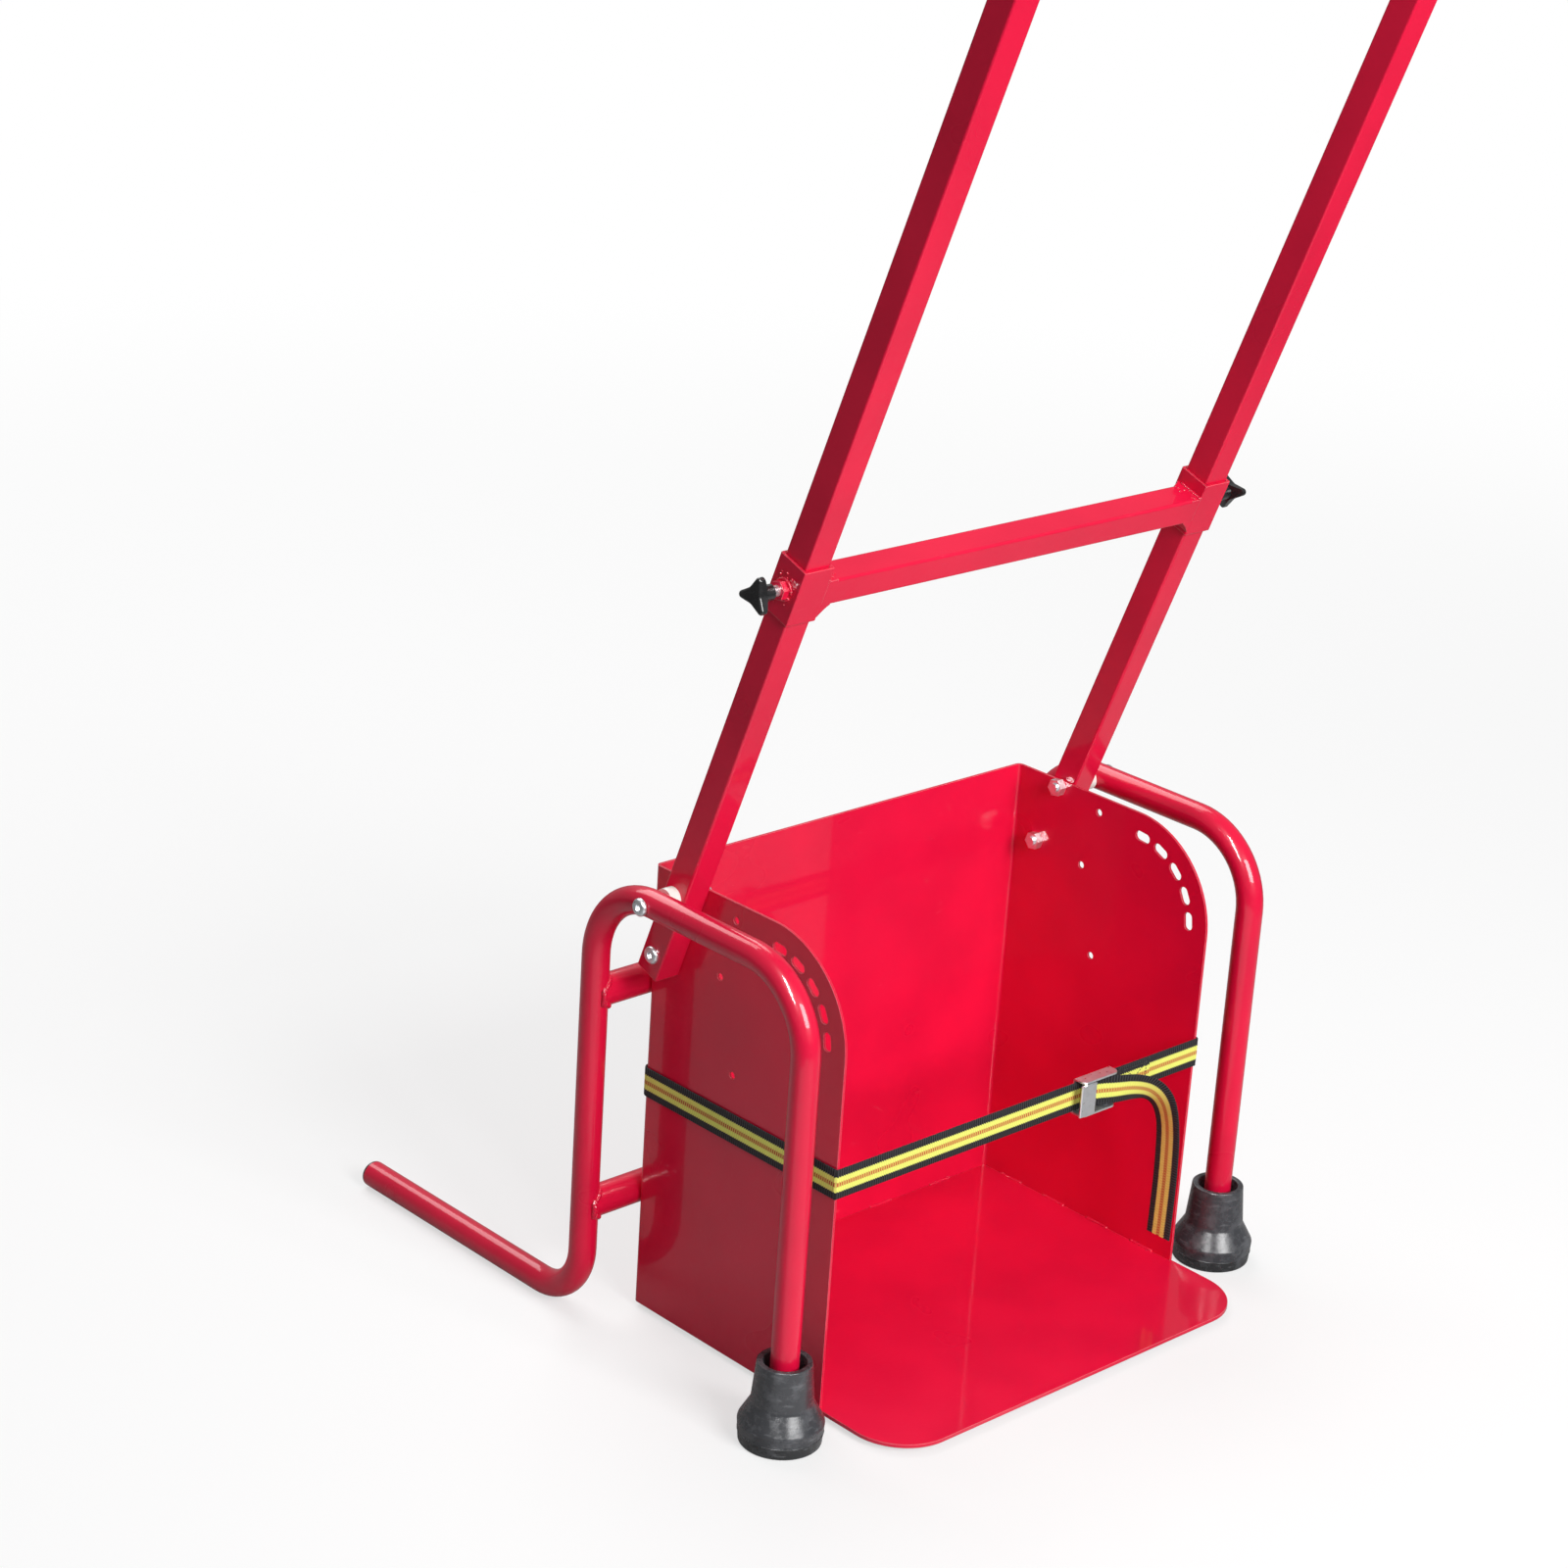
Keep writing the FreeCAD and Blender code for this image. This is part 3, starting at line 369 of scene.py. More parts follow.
def zinc(graph, settings):
    """Bright zinc plate, a little cloudy, with fine drawn lines."""
    place = graph.place()
    cloud = graph.noise(place, 210.0, 3.0, 0.55)
    line = graph.noise(graph.stretch(place, (120.0, 900.0, 900.0)), 1.0, 2.0)
    stain = graph.noise(place, 95.0, 3.0, 0.6).step(0.52, 0.78)
    dull, bright, stained = (0.68, 0.70, 0.73), (0.86, 0.88, 0.90), (0.44, 0.43, 0.40)
    colour = graph.mix(cloud, dull, bright)
    colour = graph.mix(stain * 0.3, colour, stained)
    graph.surface(
        Base_Color=colour,
        Metallic=0.9,
        Roughness=cloud * 0.16 + stain * 0.12 + 0.22,
        Normal=graph.bump(line, 0.00003, 0.25),
    )


def white_nylon(graph, settings):
    """Milky turned plastic with lathe rings."""
    place = graph.place()
    ring = graph.noise(graph.stretch(place, (3000.0, 60.0, 60.0)), 1.0, 1.0)
    cloud = graph.noise(place, 90.0, 3.0)
    milky, white = (0.74, 0.72, 0.67), (0.86, 0.85, 0.81)
    colour = graph.mix(cloud.step(0.35, 0.7), milky, white)
    graph.surface(
        Base_Color=colour,
        Roughness=cloud * 0.15 + 0.36,
        Normal=graph.bump(ring, 0.00008, 0.4),
    )


def webbing(graph, settings):
    """Ribbed webbing: dark borders, two pale bands and a dashed line down the middle, with painted shade in the
    rib hollows and a painted highlight on the borders' rib crests.
    """
    strap = settings.strap
    weave = graph.node("ShaderNodeAttribute", {"attribute_name": "weave"}, output="Vector")
    along = graph.axis(weave, "X")
    across = graph.axis(weave, "Y").size()
    rib = (along / strap.rib).wave()
    yarn = graph.noise(graph.stretch(weave, (900.0, 3200.0, 1.0)), 1.0, 2.0)
    fuzz = graph.noise(weave, 700.0, 3.0)
    border_start = STRAP_WIDTH / 2 - strap.border
    line_end = strap.middle_line / 2
    scallop, blur = 0.0008, 0.0002
    wobble = across + (rib - 0.5) * scallop
    border = wobble.step(border_start - blur, border_start + blur)
    line = 1 - wobble.step(line_end - blur, line_end + blur)
    # Painted shade: the pale bands darken in the hollows between the ribs, and vary with the yarn's random tone.
    shade = rib * 0.35 + yarn * 0.35 + 0.45
    shaded = tuple(channel * 0.62 for channel in strap.pale)
    pale = graph.mix(shade, shaded, tuple(strap.pale))
    # Painted highlight: the dark borders lighten on each rib's crest.
    crest_highlight = rib.step(0.5, 0.95) * (fuzz * 0.6 + 0.5)
    crest_highlight_colour = tuple(channel * 9 for channel in strap.dark)
    dark = graph.mix(crest_highlight, tuple(strap.dark), crest_highlight_colour)
    colour = graph.mix(line * (rib * 0.75 + 0.25), pale, tuple(strap.line))
    colour = graph.mix(border, colour, dark)
    graph.surface(
        Base_Color=colour,
        Roughness=fuzz * 0.2 + 0.68,
        Normal=graph.bump(rib * 0.7 + yarn * 0.5 + fuzz * 0.3, 0.00028, 0.7),
        Sheen_Weight=0.05,
        Specular_IOR_Level=0.25,
    )


def sewing_thread(graph, settings):
    """Waxed black sewing thread."""
    place = graph.place()
    twist = graph.noise(place, 2600.0, 2.0)
    waxed, bare = (0.010, 0.010, 0.011), (0.050, 0.050, 0.054)
    colour = graph.mix(twist, waxed, bare)
    graph.surface(Base_Color=colour, Roughness=twist * 0.2 + 0.45, Normal=graph.bump(twist, 0.00008))


FINISHES = {fill.__name__: fill for fill in (
    red_paint, rubber, black_plastic, zinc, white_nylon, webbing, sewing_thread)}


def finish(name, settings):
    """The finish of this name, made when it is first asked for."""
    material = bpy.data.materials.get(name + "_finish")
    if material is None:
        material, graph = material_graph(name)
        FINISHES[name](graph, settings)
    return material


# Shapes

def leaned(x, back, along):
    """A place on the leaning bars: across, square to the bars and along them from the tilt axis."""
    return Vector((x, PIVOT.y, PIVOT.z)) + ACROSS_BAR * back + ALONG_BAR * along


def on_bar(spot):
    """Where a point lies in the leaning bars' own directions."""
    reach = spot - PIVOT
    return reach.dot(ACROSS_BAR), reach.dot(ALONG_BAR)


def placed(name, data):
    """A new object of the scene that holds this mesh, curve, lamp or camera."""
    made = bpy.data.objects.new(name, data)
    bpy.context.scene.collection.objects.link(made)
    return made


def new_piece(name, mesh, body, slot, settings, finish_name=None):
    """A finished mesh as a piece of the object that moves with a body."""
    piece = placed(name, mesh)
    mesh.materials.clear()
    mesh.materials.append(finish(finish_name or slot, settings))
    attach(piece, body)
    return piece


def wire_mesh(name, paths):
    """A mesh of edges only; each path is its points and whether it closes."""
    mesh = bpy.data.meshes.new(name)
    points, edges = [], []
    for path, closed in paths:
        first = len(points)
        points.extend(path)
        edges.extend((first + i, first + i + 1) for i in range(len(path) - 1))
        if closed:
            edges.append((len(points) - 1, first))
    mesh.from_pydata(points, edges, [])
    return mesh


def grown(name, base, tree, values):
    """The plain mesh that a Geometry Nodes tree makes from a base mesh."""
    maker = placed(name + "_maker", base)
    modifier = maker.modifiers.new("Grow", "NODES")
    modifier.node_group = tree
    for item in tree.interface.items_tree:
        if item.item_type == "SOCKET" and item.in_out == "INPUT" and item.name in values:
            modifier[item.identifier] = values[item.name]
    depsgraph = bpy.context.evaluated_depsgraph_get()
    mesh = bpy.data.meshes.new_from_object(maker.evaluated_get(depsgraph), depsgraph=depsgraph)
    maker.modifiers.remove(modifier)
    bpy.data.objects.remove(maker)
    if not mesh.polygons:
        raise RuntimeError(f"{name}: the tree made no faces")
    mesh.name = name
    return mesh


def new_tree(name, inputs):
    """An empty Geometry Nodes tree with a geometry and these named inputs."""
    tree = bpy.data.node_groups.new(name, "GeometryNodeTree")
    tree.interface.new_socket("Geometry", in_out="INPUT", socket_type="NodeSocketGeometry")
    for socket_name, kind in inputs:
        tree.interface.new_socket(socket_name, in_out="INPUT", socket_type="NodeSocket" + kind)
    tree.interface.new_socket("Geometry", in_out="OUTPUT", socket_type="NodeSocketGeometry")
    graph = Graph(tree)
    entry = tree.nodes.new("NodeGroupInput")
    wires = {socket.name: Wire(graph, socket) for socket in entry.outputs if socket.name}
    return tree, graph, wires


def close_tree(graph, geometry):
    """Ends a tree: real faces, smooth shading."""
    real = graph.node("GeometryNodeRealizeInstances", {}, {"Geometry": geometry})
    smooth = graph.node("GeometryNodeSetShadeSmooth", {}, {"Geometry": real})
    graph.node("NodeGroupOutput", {}, {"Geometry": smooth})


def even_curve(graph, geometry, spacing):
    """The paths of the base mesh as curves with evenly spaced points."""
    curve = graph.node("GeometryNodeMeshToCurve", {}, {"Mesh": geometry})
    sockets = {"Curve": curve, "Length": spacing}
    return graph.node("GeometryNodeResampleCurve", {"mode": "LENGTH"}, sockets)


# A bead's steps to a ripple, the sides of its section, and how ripples and lumps share its swelling
BEAD_STEPS = 4
BEAD_SIDES = 10
LUMPS_PER_METRE = 260.0
RIPPLE_SHARE = 0.6
LUMP_SHARE = 0.8


def bead_tree():
    """A bead along each path: round, rippled, a little uneven, closed at its ends."""
    tree, graph, ask = new_tree("weld_bead", (
        ("Radius", "Float"), ("Ripple", "Float"), ("Swell", "Float"), ("Seed", "Int")))
    even = even_curve(graph, ask["Geometry"], ask["Ripple"] / BEAD_STEPS)
    length = graph.node("GeometryNodeSplineParameter", output="Length")
    spot = graph.node("GeometryNodeInputPosition")
    lumps = graph.node("ShaderNodeTexNoise", {"noise_dimensions": "4D"},
                       {"Vector": spot, "W": ask["Seed"], "Scale": LUMPS_PER_METRE, "Detail": 2.0})
    ripples = (length / ask["Ripple"]).wave()
    swell = ripples * RIPPLE_SHARE + lumps * LUMP_SHARE - (RIPPLE_SHARE + LUMP_SHARE) / 2
    sockets = {"Resolution": BEAD_SIDES, "Radius": ask["Radius"]}
    profile = graph.node("GeometryNodeCurvePrimitiveCircle", {}, sockets)
    sockets = {"Curve": even, "Profile Curve": profile, "Scale": swell * ask["Swell"] + 1,
               "Fill Caps": True}
    bead = graph.node("GeometryNodeCurveToMesh", {}, sockets)
    close_tree(graph, bead)
    return tree


# Half the length of a stitch as a share of the pitch
STITCH_HALF_SHARE = 0.42


def stitch_tree():
    """Short plump stitches laid end to end along each path."""
    tree, graph, ask = new_tree("stitches", (
        ("Pitch", "Float"), ("Width", "Float"), ("Height", "Float")))
    even = even_curve(graph, ask["Geometry"], ask["Pitch"])
    tangent = graph.node("GeometryNodeInputTangent")
    turn = graph.node("FunctionNodeAlignRotationToVector", {"axis": "X"}, {"Vector": tangent})
    turn = graph.node("FunctionNodeAlignRotationToVector", {"axis": "Z", "pivot_axis": "X"},
                      {"Rotation": turn, "Vector": (0.0, -1.0, 0.0)})
    shape = {"X": ask["Pitch"] * STITCH_HALF_SHARE, "Y": ask["Width"] / 2, "Z": ask["Height"] / 2}
    scale = graph.node("ShaderNodeCombineXYZ", {}, shape)
    ball = graph.node("GeometryNodeMeshIcoSphere", {}, {"Radius": 1.0, "Subdivisions": 2})
    sockets = {"Points": even, "Instance": ball, "Rotation": turn, "Scale": scale}
    close_tree(graph, graph.node("GeometryNodeInstanceOnPoints", {}, sockets))
    return tree


# A thread's ridge and how deep it sits in the stud, as shares of its pitch
THREAD_RIDGE_SHARE = 0.46
THREAD_SINK_SHARE = 0.38


def thread_tree():
    """A screw thread along +X from each point of the base mesh."""
    tree, graph, ask = new_tree("screw_thread", (
        ("Radius", "Float"), ("Pitch", "Float"), ("Length", "Float")))
    turns = ask["Length"] / ask["Pitch"]
    sockets = {"Resolution": 20, "Rotations": turns, "Start Radius": ask["Radius"],
               "End Radius": ask["Radius"], "Height": ask["Length"]}
    helix = graph.node("GeometryNodeCurveSpiral", {}, sockets)
    sockets = {"Resolution": 4, "Radius": ask["Pitch"] * THREAD_RIDGE_SHARE}
    ridge = graph.node("GeometryNodeCurvePrimitiveCircle", {}, sockets)
    sockets = {"Curve": helix, "Profile Curve": ridge, "Fill Caps": True}
    thread = graph.node("GeometryNodeCurveToMesh", {}, sockets)
    lying = graph.node("GeometryNodeTransform", {},
                       {"Geometry": thread, "Rotation": (0.0, math.pi / 2, 0.0)})
    sockets = {"Points": ask["Geometry"], "Instance": lying}
    close_tree(graph, graph.node("GeometryNodeInstanceOnPoints", {}, sockets))
    return tree


def spatter_tree():
    """Small round drops scattered on the base mesh."""
    tree, graph, ask = new_tree("weld_spatter", (
        ("Density", "Float"), ("Smallest", "Float"), ("Largest", "Float"), ("Seed", "Int")))
    sockets = {"Mesh": ask["Geometry"], "Density": ask["Density"], "Seed": ask["Seed"]}
    points = graph.node("GeometryNodeDistributePointsOnFaces", {}, sockets)
    size = graph.node("FunctionNodeRandomValue", {"data_type": "FLOAT"},
                      {2: ask["Smallest"], 3: ask["Largest"], "Seed": ask["Seed"]}, output=1)
    drop = graph.node("GeometryNodeMeshIcoSphere", {}, {"Radius": 1.0, "Subdivisions": 2})
    sockets = {"Points": points, "Instance": drop, "Scale": size}
    close_tree(graph, graph.node("GeometryNodeInstanceOnPoints", {}, sockets))
    return tree


def rounded_path(corners, spacing):
    """Evenly spaced points through corners on one level; a corner is its point and its bend radius."""
    dense = [corners[0][0]]
    for before, here, after in zip(corners, corners[1:], corners[2:]):
        spot, radius = here
        back = (before[0] - spot).normalized()
        ahead = (after[0] - spot).normalized()
        half = back.angle(ahead) / 2
        reach = radius / math.tan(half)
        centre = spot + (back + ahead).normalized() * (radius / math.sin(half))
        start, end = spot + back * reach, spot + ahead * reach
        count = max(4, int(math.pi * radius / spacing))
        for i in range(count + 1):
            arm = (start - centre).slerp(end - centre, i / count)
            dense.append(centre + arm * radius)
    dense.append(corners[-1][0])
    return even_points(dense, spacing)


def even_points(points, spacing):
    """The same line with points at an even spacing."""
    lengths = [0.0]
    for first, second in zip(points, points[1:]):
        lengths.append(lengths[-1] + (second - first).length)
    count = max(2, round(lengths[-1] / spacing))
    found, run = [], 0
    for i in range(count + 1):
        target = lengths[-1] * i / count
        while run < len(points) - 2 and lengths[run + 1] < target:
            run += 1
        span = lengths[run + 1] - lengths[run]
        share = (target - lengths[run]) / span if span else 0.0
        found.append(points[run].lerp(points[run + 1], share))
    return found


def path_length(points):
    return sum((second - first).length for first, second in zip(points, points[1:]))


# Points along the webbing for each of its ribs
RIB_STEPS = 4


def band_mesh(name, points, widths, strap):
    """Ribbed webbing along points; widths gives the direction of its width at each point."""
    half = STRAP_WIDTH / 2
    thick = strap.thickness / 2
    border = half - strap.border
    edge = half - thick
    columns = [-edge, -(edge + border) / 2, -border, -strap.middle_line / 2, 0.0,
               strap.middle_line / 2, border, (edge + border) / 2, edge]
    rim = [(column, 1) for column in columns] + [(half, 0)]
    rim += [(column, -1) for column in reversed(columns)] + [(-half, 0)]
    mesh = bpy.data.meshes.new(name)
    shape = bmesh.new()
    weave = shape.verts.layers.float_vector.new("weave")
    rings, along = [], 0.0
    for i, point in enumerate(points):
        ahead = (points[min(i + 1, len(points) - 1)] - points[max(i - 1, 0)]).normalized()
        wide = (widths[i] - ahead * widths[i].dot(ahead)).normalized()
        out = wide.cross(ahead)
        along += (point - points[i - 1]).length if i else 0.0
        ripple = 0.5 - 0.5 * math.sin(2 * math.pi * along / strap.rib)
        ring = []
        for across, face in rim:
            depth = strap.rib_depth if abs(across) > border else strap.rib_depth / 2
            spot = point + wide * (across - math.copysign(depth * ripple, across) * (face == 0))
            vert = shape.verts.new(spot + out * (face * (thick - depth * ripple)))
            vert[weave] = (along, across, 0.0)
            ring.append(vert)
        rings.append(ring)
    count = len(rim)
    for first, second in zip(rings, rings[1:]):
        for i in range(count):
            shape.faces.new((first[i], first[(i + 1) % count], second[(i + 1) % count], second[i]))
    shape.faces.new(rings[0])
    shape.faces.new(list(reversed(rings[-1])))
    for face in shape.faces:
        face.smooth = True
    bmesh.ops.recalc_face_normals(shape, faces=shape.faces)
    shape.to_mesh(mesh)
    shape.free()
    return mesh


# Places on the strap

def strap_places(strap):
    """Middle line of the webbing: half span, front and back, the eye on its bar, the buckle's place."""
    gap = LOOP_HIGH.x - SHELL_HIGH.x - strap.thickness
    stand_off = gap + strap.thickness / 2
    front = SHELL_LOW.y - stand_off
    bar = middle("loop_bar")
    eye = front - bar.y
    buckle = Vector((bar.x - BUCKLE_TO_BAR, front, middle("strap_loop").z))
    return {"span": SHELL_HIGH.x + stand_off, "front": front, "back": SHELL_HIGH.y + stand_off,
            "bar": bar, "eye": eye, "buckle": buckle, "stand_off": stand_off}


# Operators

class TIPPER_OT_finish_pieces(bpy.types.Operator):
    """Give every CAD piece the finish of its material slot"""
    bl_idname = "tipper.finish_pieces"
    bl_label = "Finish the pieces"

    def execute(self, context):
        settings = context.scene.tipper
        for part in frame["record"]["subparts"]:
            mesh = frame["nodes"][part["node"]].data
            mesh.materials.clear()
            mesh.materials.append(finish(part["material_slot"], settings))
        return {"FINISHED"}


# The sewn eye: bend radii in metres, and shares of the eye's radius or of the webbing's thickness
LAP_BEND = 0.012
EYE_BEND = 0.010
LAP_START_SHARE = 5.5
EYE_SHOULDER_SHARE = 1.6
EYE_ROUND_SHARE = 0.995
LAP_RISE_SHARE = 1.03
FOLD_EASE_SHARE = 0.12


class TIPPER_OT_weave_strap(bpy.types.Operator):
    """Weave the strap round the cradle, from its sewn eye to the cam"""
    bl_idname = "tipper.weave_strap"
    bl_label = "Weave the strap"

    def execute(self, context):
        settings = context.scene.tipper
        strap = settings.strap
        at = strap_places(strap)
        level = at["buckle"].z
        bar, eye, front, span = at["bar"], at["eye"], at["front"], at["span"]
        fold = at["stand_off"] + strap.thickness * FOLD_EASE_SHARE
        bend = SHEET_BEND + at["stand_off"]
        lap_y = front - strap.thickness * LAP_RISE_SHARE
        lap_x = bar.x + eye * LAP_START_SHARE
        corners = [
            (Vector((lap_x + strap.lap, lap_y, level)), 0),
            (Vector((lap_x, lap_y, level)), LAP_BEND),
            (Vector((bar.x + eye * EYE_SHOULDER_SHARE, front - 2 * eye, level)), EYE_BEND),
            (Vector((bar.x - eye, front - 2 * eye, level)), eye * EYE_ROUND_SHARE),
            (Vector((bar.x - eye, front, level)), eye * EYE_ROUND_SHARE),
            (Vector((span, front, level)), fold),
            (Vector((span, at["back"], level)), bend),
            (Vector((-span, at["back"], level)), bend),
            (Vector((-span, front, level)), fold),
            (Vector((at["buckle"].x + TAIL_ROUTE[0][0], front, level)), 0),
        ]
        points = rounded_path(corners, strap.rib / RIB_STEPS)
        mesh = band_mesh("strap", points, [UP] * len(points), strap)
        piece = new_piece("strap", mesh, "cradle", "webbing", settings)
        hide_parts("strap_loop")
        return {"FINISHED"}


# The free end turns its flat side from the front to the side over the first third of its drop
TURN_RATE = 3.0
TURN_POWER = 0.6


class TIPPER_OT_hang_tail(bpy.types.Operator):
    """Hang the free strap end from the buckle"""
    bl_idname = "tipper.hang_tail"
    bl_label = "Hang the strap end"

    def execute(self, context):
        settings = context.scene.tipper
        strap = settings.strap
        buckle = strap_places(strap)["buckle"]
        curve = bpy.data.curves.new("tail_route", "CURVE")
        curve.dimensions = "3D"
        spline = curve.splines.new("NURBS")
        spline.points.add(len(TAIL_ROUTE) - 1)
        for point, step in zip(spline.points, TAIL_ROUTE):
            point.co = (*(buckle + Vector(step)), 1.0)
        spline.order_u = 3
        spline.use_endpoint_u = True
        spline.resolution_u = 48
        route = placed("tail_route", curve)
        depsgraph = context.evaluated_depsgraph_get()
        line = bpy.data.meshes.new_from_object(route.evaluated_get(depsgraph))
        points = even_points([vert.co.copy() for vert in line.vertices], strap.rib / RIB_STEPS)
        bpy.data.objects.remove(route)
        widths = []
        for point in points:
            drop = (buckle.z - point.z) / (buckle.z - points[-1].z)
            twist = min(1.0, max(0.0, drop * TURN_RATE)) ** TURN_POWER * math.pi / 2
            widths.append(Vector((0, -math.sin(twist), math.cos(twist))))
        mesh = band_mesh("strap_end", points, widths, strap)
        piece = new_piece("strap_end", mesh, "cradle", "webbing", settings)
        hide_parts("strap_tail")
        path_length(points)
        return {"FINISHED"}


# The seam: shares of the lap, the width and the thickness of the webbing, and the thread in metres
SEAM_START_SHARE = 0.12
SEAM_LENGTH_SHARE = 0.76
SEAM_HALF_SHARE = 0.37
SEAM_OUTSIDE_SHARE = 1.52
SEAM_INSIDE_SHARE = 0.5
STITCH_WIDTH = 0.0008
STITCH_HEIGHT = 0.0006


class TIPPER_OT_sew_strap(bpy.types.Operator):
    """Sew the lap beside the buckle's bar with a crossed box of stitches on both faces"""
    bl_idname = "tipper.sew_strap"
    bl_label = "Sew the strap"

    def execute(self, context):
        settings = context.scene.tipper
        strap = settings.strap
        at = strap_places(strap)
        start = at["bar"].x + at["eye"] * LAP_START_SHARE + strap.lap * SEAM_START_SHARE
        end = start + strap.lap * SEAM_LENGTH_SHARE
        half = STRAP_WIDTH * SEAM_HALF_SHARE
        low, high = at["buckle"].z - half, at["buckle"].z + half
        outside = at["front"] - strap.thickness * SEAM_OUTSIDE_SHARE
        inside = at["front"] + strap.thickness * SEAM_INSIDE_SHARE
        paths = []
        for y in (outside, inside):
            box = [Vector((x, y, z)) for x, z in ((start, low), (end, low), (end, high), (start, high))]
            paths.append((box + box[:1], False))
            paths.append(([box[0], box[2]], False))
            paths.append(([box[1], box[3]], False))
        values = {"Pitch": strap.stitch, "Width": STITCH_WIDTH, "Height": STITCH_HEIGHT}
        mesh = grown("strap_stitches", wire_mesh("stitch_paths", paths), stitch_tree(), values)
        new_piece("strap_stitches", mesh, "cradle", "webbing", settings, "sewing_thread")
        return {"FINISHED"}


# Welds: lengths in metres, angles in degrees
SADDLE_POINTS = 64
GRIP_SEAM_SHARE = 0.85
NUT_SEAM_RADIUS = 0.0075
NUT_SEAM_STARTS = (20, 200)
NUT_SEAM_STEP = 10
NUT_SEAM_POINTS = 15
TACK = 0.024
SIDE_TACKS = 4
SIDE_TACK_START = 0.02
SIDE_TACK_STEP = 0.05
BACK_TACKS = 5
BACK_TACK_START = -0.15
BACK_TACK_STEP = 0.07
WELD_SWELL = 0.38


def saddle(tube, leg, side):
    """Seam of a cross tube where it meets a leg."""
    low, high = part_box(tube)
    radius = (high.z - low.z) / 2
    leg_low, leg_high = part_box(leg)
    leg_radius = (leg_high.x - leg_low.x) / 2
    leg_x = (leg_low.x + leg_high.x) / 2
    centre = (low + high) / 2
    points = []
    for i in range(SADDLE_POINTS):
        angle = 2 * math.pi * i / SADDLE_POINTS
        y = radius * math.cos(angle)
        inset = math.sqrt(max(leg_radius ** 2 - y ** 2, 0.0))
        points.append(Vector((leg_x - side * inset, centre.y + y, centre.z + radius * math.sin(angle))))
    return points


def section_half(node):
    """Half the width of a level square tube that is turned with the leaning bars."""
    reaches = [on_bar(vert.co)[0] for vert in frame["nodes"][node].data.vertices]
    return (max(reaches) - min(reaches)) / 2


def square_seam(x, spot, half):
    """Seam round a square tube of the leaning frame, at one side."""
    back, along = on_bar(spot)
    return [leaned(x, back + half * a, along + half * b) for a, b in CORNERS]


def nut_seat(name, side):
    """Where a clamp nut meets its sleeve: across, and in the leaning bars' own directions."""
    low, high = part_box("clamp_nut_" + name)
    back, along = on_bar(middle("clamp_nut_" + name))
    return high.x if side < 0 else low.x, back, along


def nut_arcs(name, side):
    """Two arcs of weld round a clamp nut, on its sleeve."""
    seat_x, back, along = nut_seat(name, side)
    arcs = []
    for start in NUT_SEAM_STARTS:
        arc = []
        for i in range(NUT_SEAM_POINTS):
            angle = math.radians(start + NUT_SEAM_STEP * i)
            behind = NUT_SEAM_RADIUS * math.cos(angle)
            above = NUT_SEAM_RADIUS * math.sin(angle)
            arc.append(leaned(seat_x, back + behind, along + above))
        arcs.append((arc, False))
    return arcs


def tack_row(first, ahead, step, count):
    """A row of short welds: where the first starts, its direction, their spacing and their number."""
    starts = [first + ahead * (step * i) for i in range(count)]
    return [([start, start + ahead * TACK], False) for start in starts]


def dressed_collar(shape, side, fillet):
    """Dressed weld of the crossbar on a sleeve: flush in front and above, a fillet below and behind."""
    half = section_half("retainer_crossbar")
    end_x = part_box("retainer_crossbar")[1].x * side
    back, along = on_bar(middle("retainer_crossbar"))
    inset = 0.00005
    sunk = 0.0013
    hollow = 1.3
    steps = 8
    rings = []
    for gap in [fillet * (1 - i / steps) for i in range(steps + 1)] + [-sunk]:
        flare = fillet * min(1.0, 1 - gap / fillet) ** hollow
        x = end_x - side * gap
        front, rear = back - half + inset, back + half + flare / 2
        low, high = along - half - flare, along + half - inset
        corners = ((front, low), (rear, low), (rear, high), (front, high))
        rings.append([shape.verts.new(leaned(x, a, b)) for a, b in corners])
    for first, second in zip(rings, rings[1:]):
        for i in range(4):
            shape.faces.new((first[i - 1], first[i], second[i], second[i - 1]))
    shape.faces.new(rings[0])
    shape.faces.new(rings[-1])


class TIPPER_OT_dress_welds(bpy.types.Operator):
    """Dress the welds between the retainer's crossbar and its sleeves"""
    bl_idname = "tipper.dress_welds"
    bl_label = "Dress the crossbar's welds"

    def execute(self, context):
        settings = context.scene.tipper
        shape = bmesh.new()
        for _, side in SIDES:
            dressed_collar(shape, side, settings.paint.fillet)
        bmesh.ops.recalc_face_normals(shape, faces=shape.faces)
        mesh = bpy.data.meshes.new("crossbar_fillets")
        shape.to_mesh(mesh)
        shape.free()
        new_piece("crossbar_fillets", mesh, "retainer", "red_paint", settings)
        return {"FINISHED"}


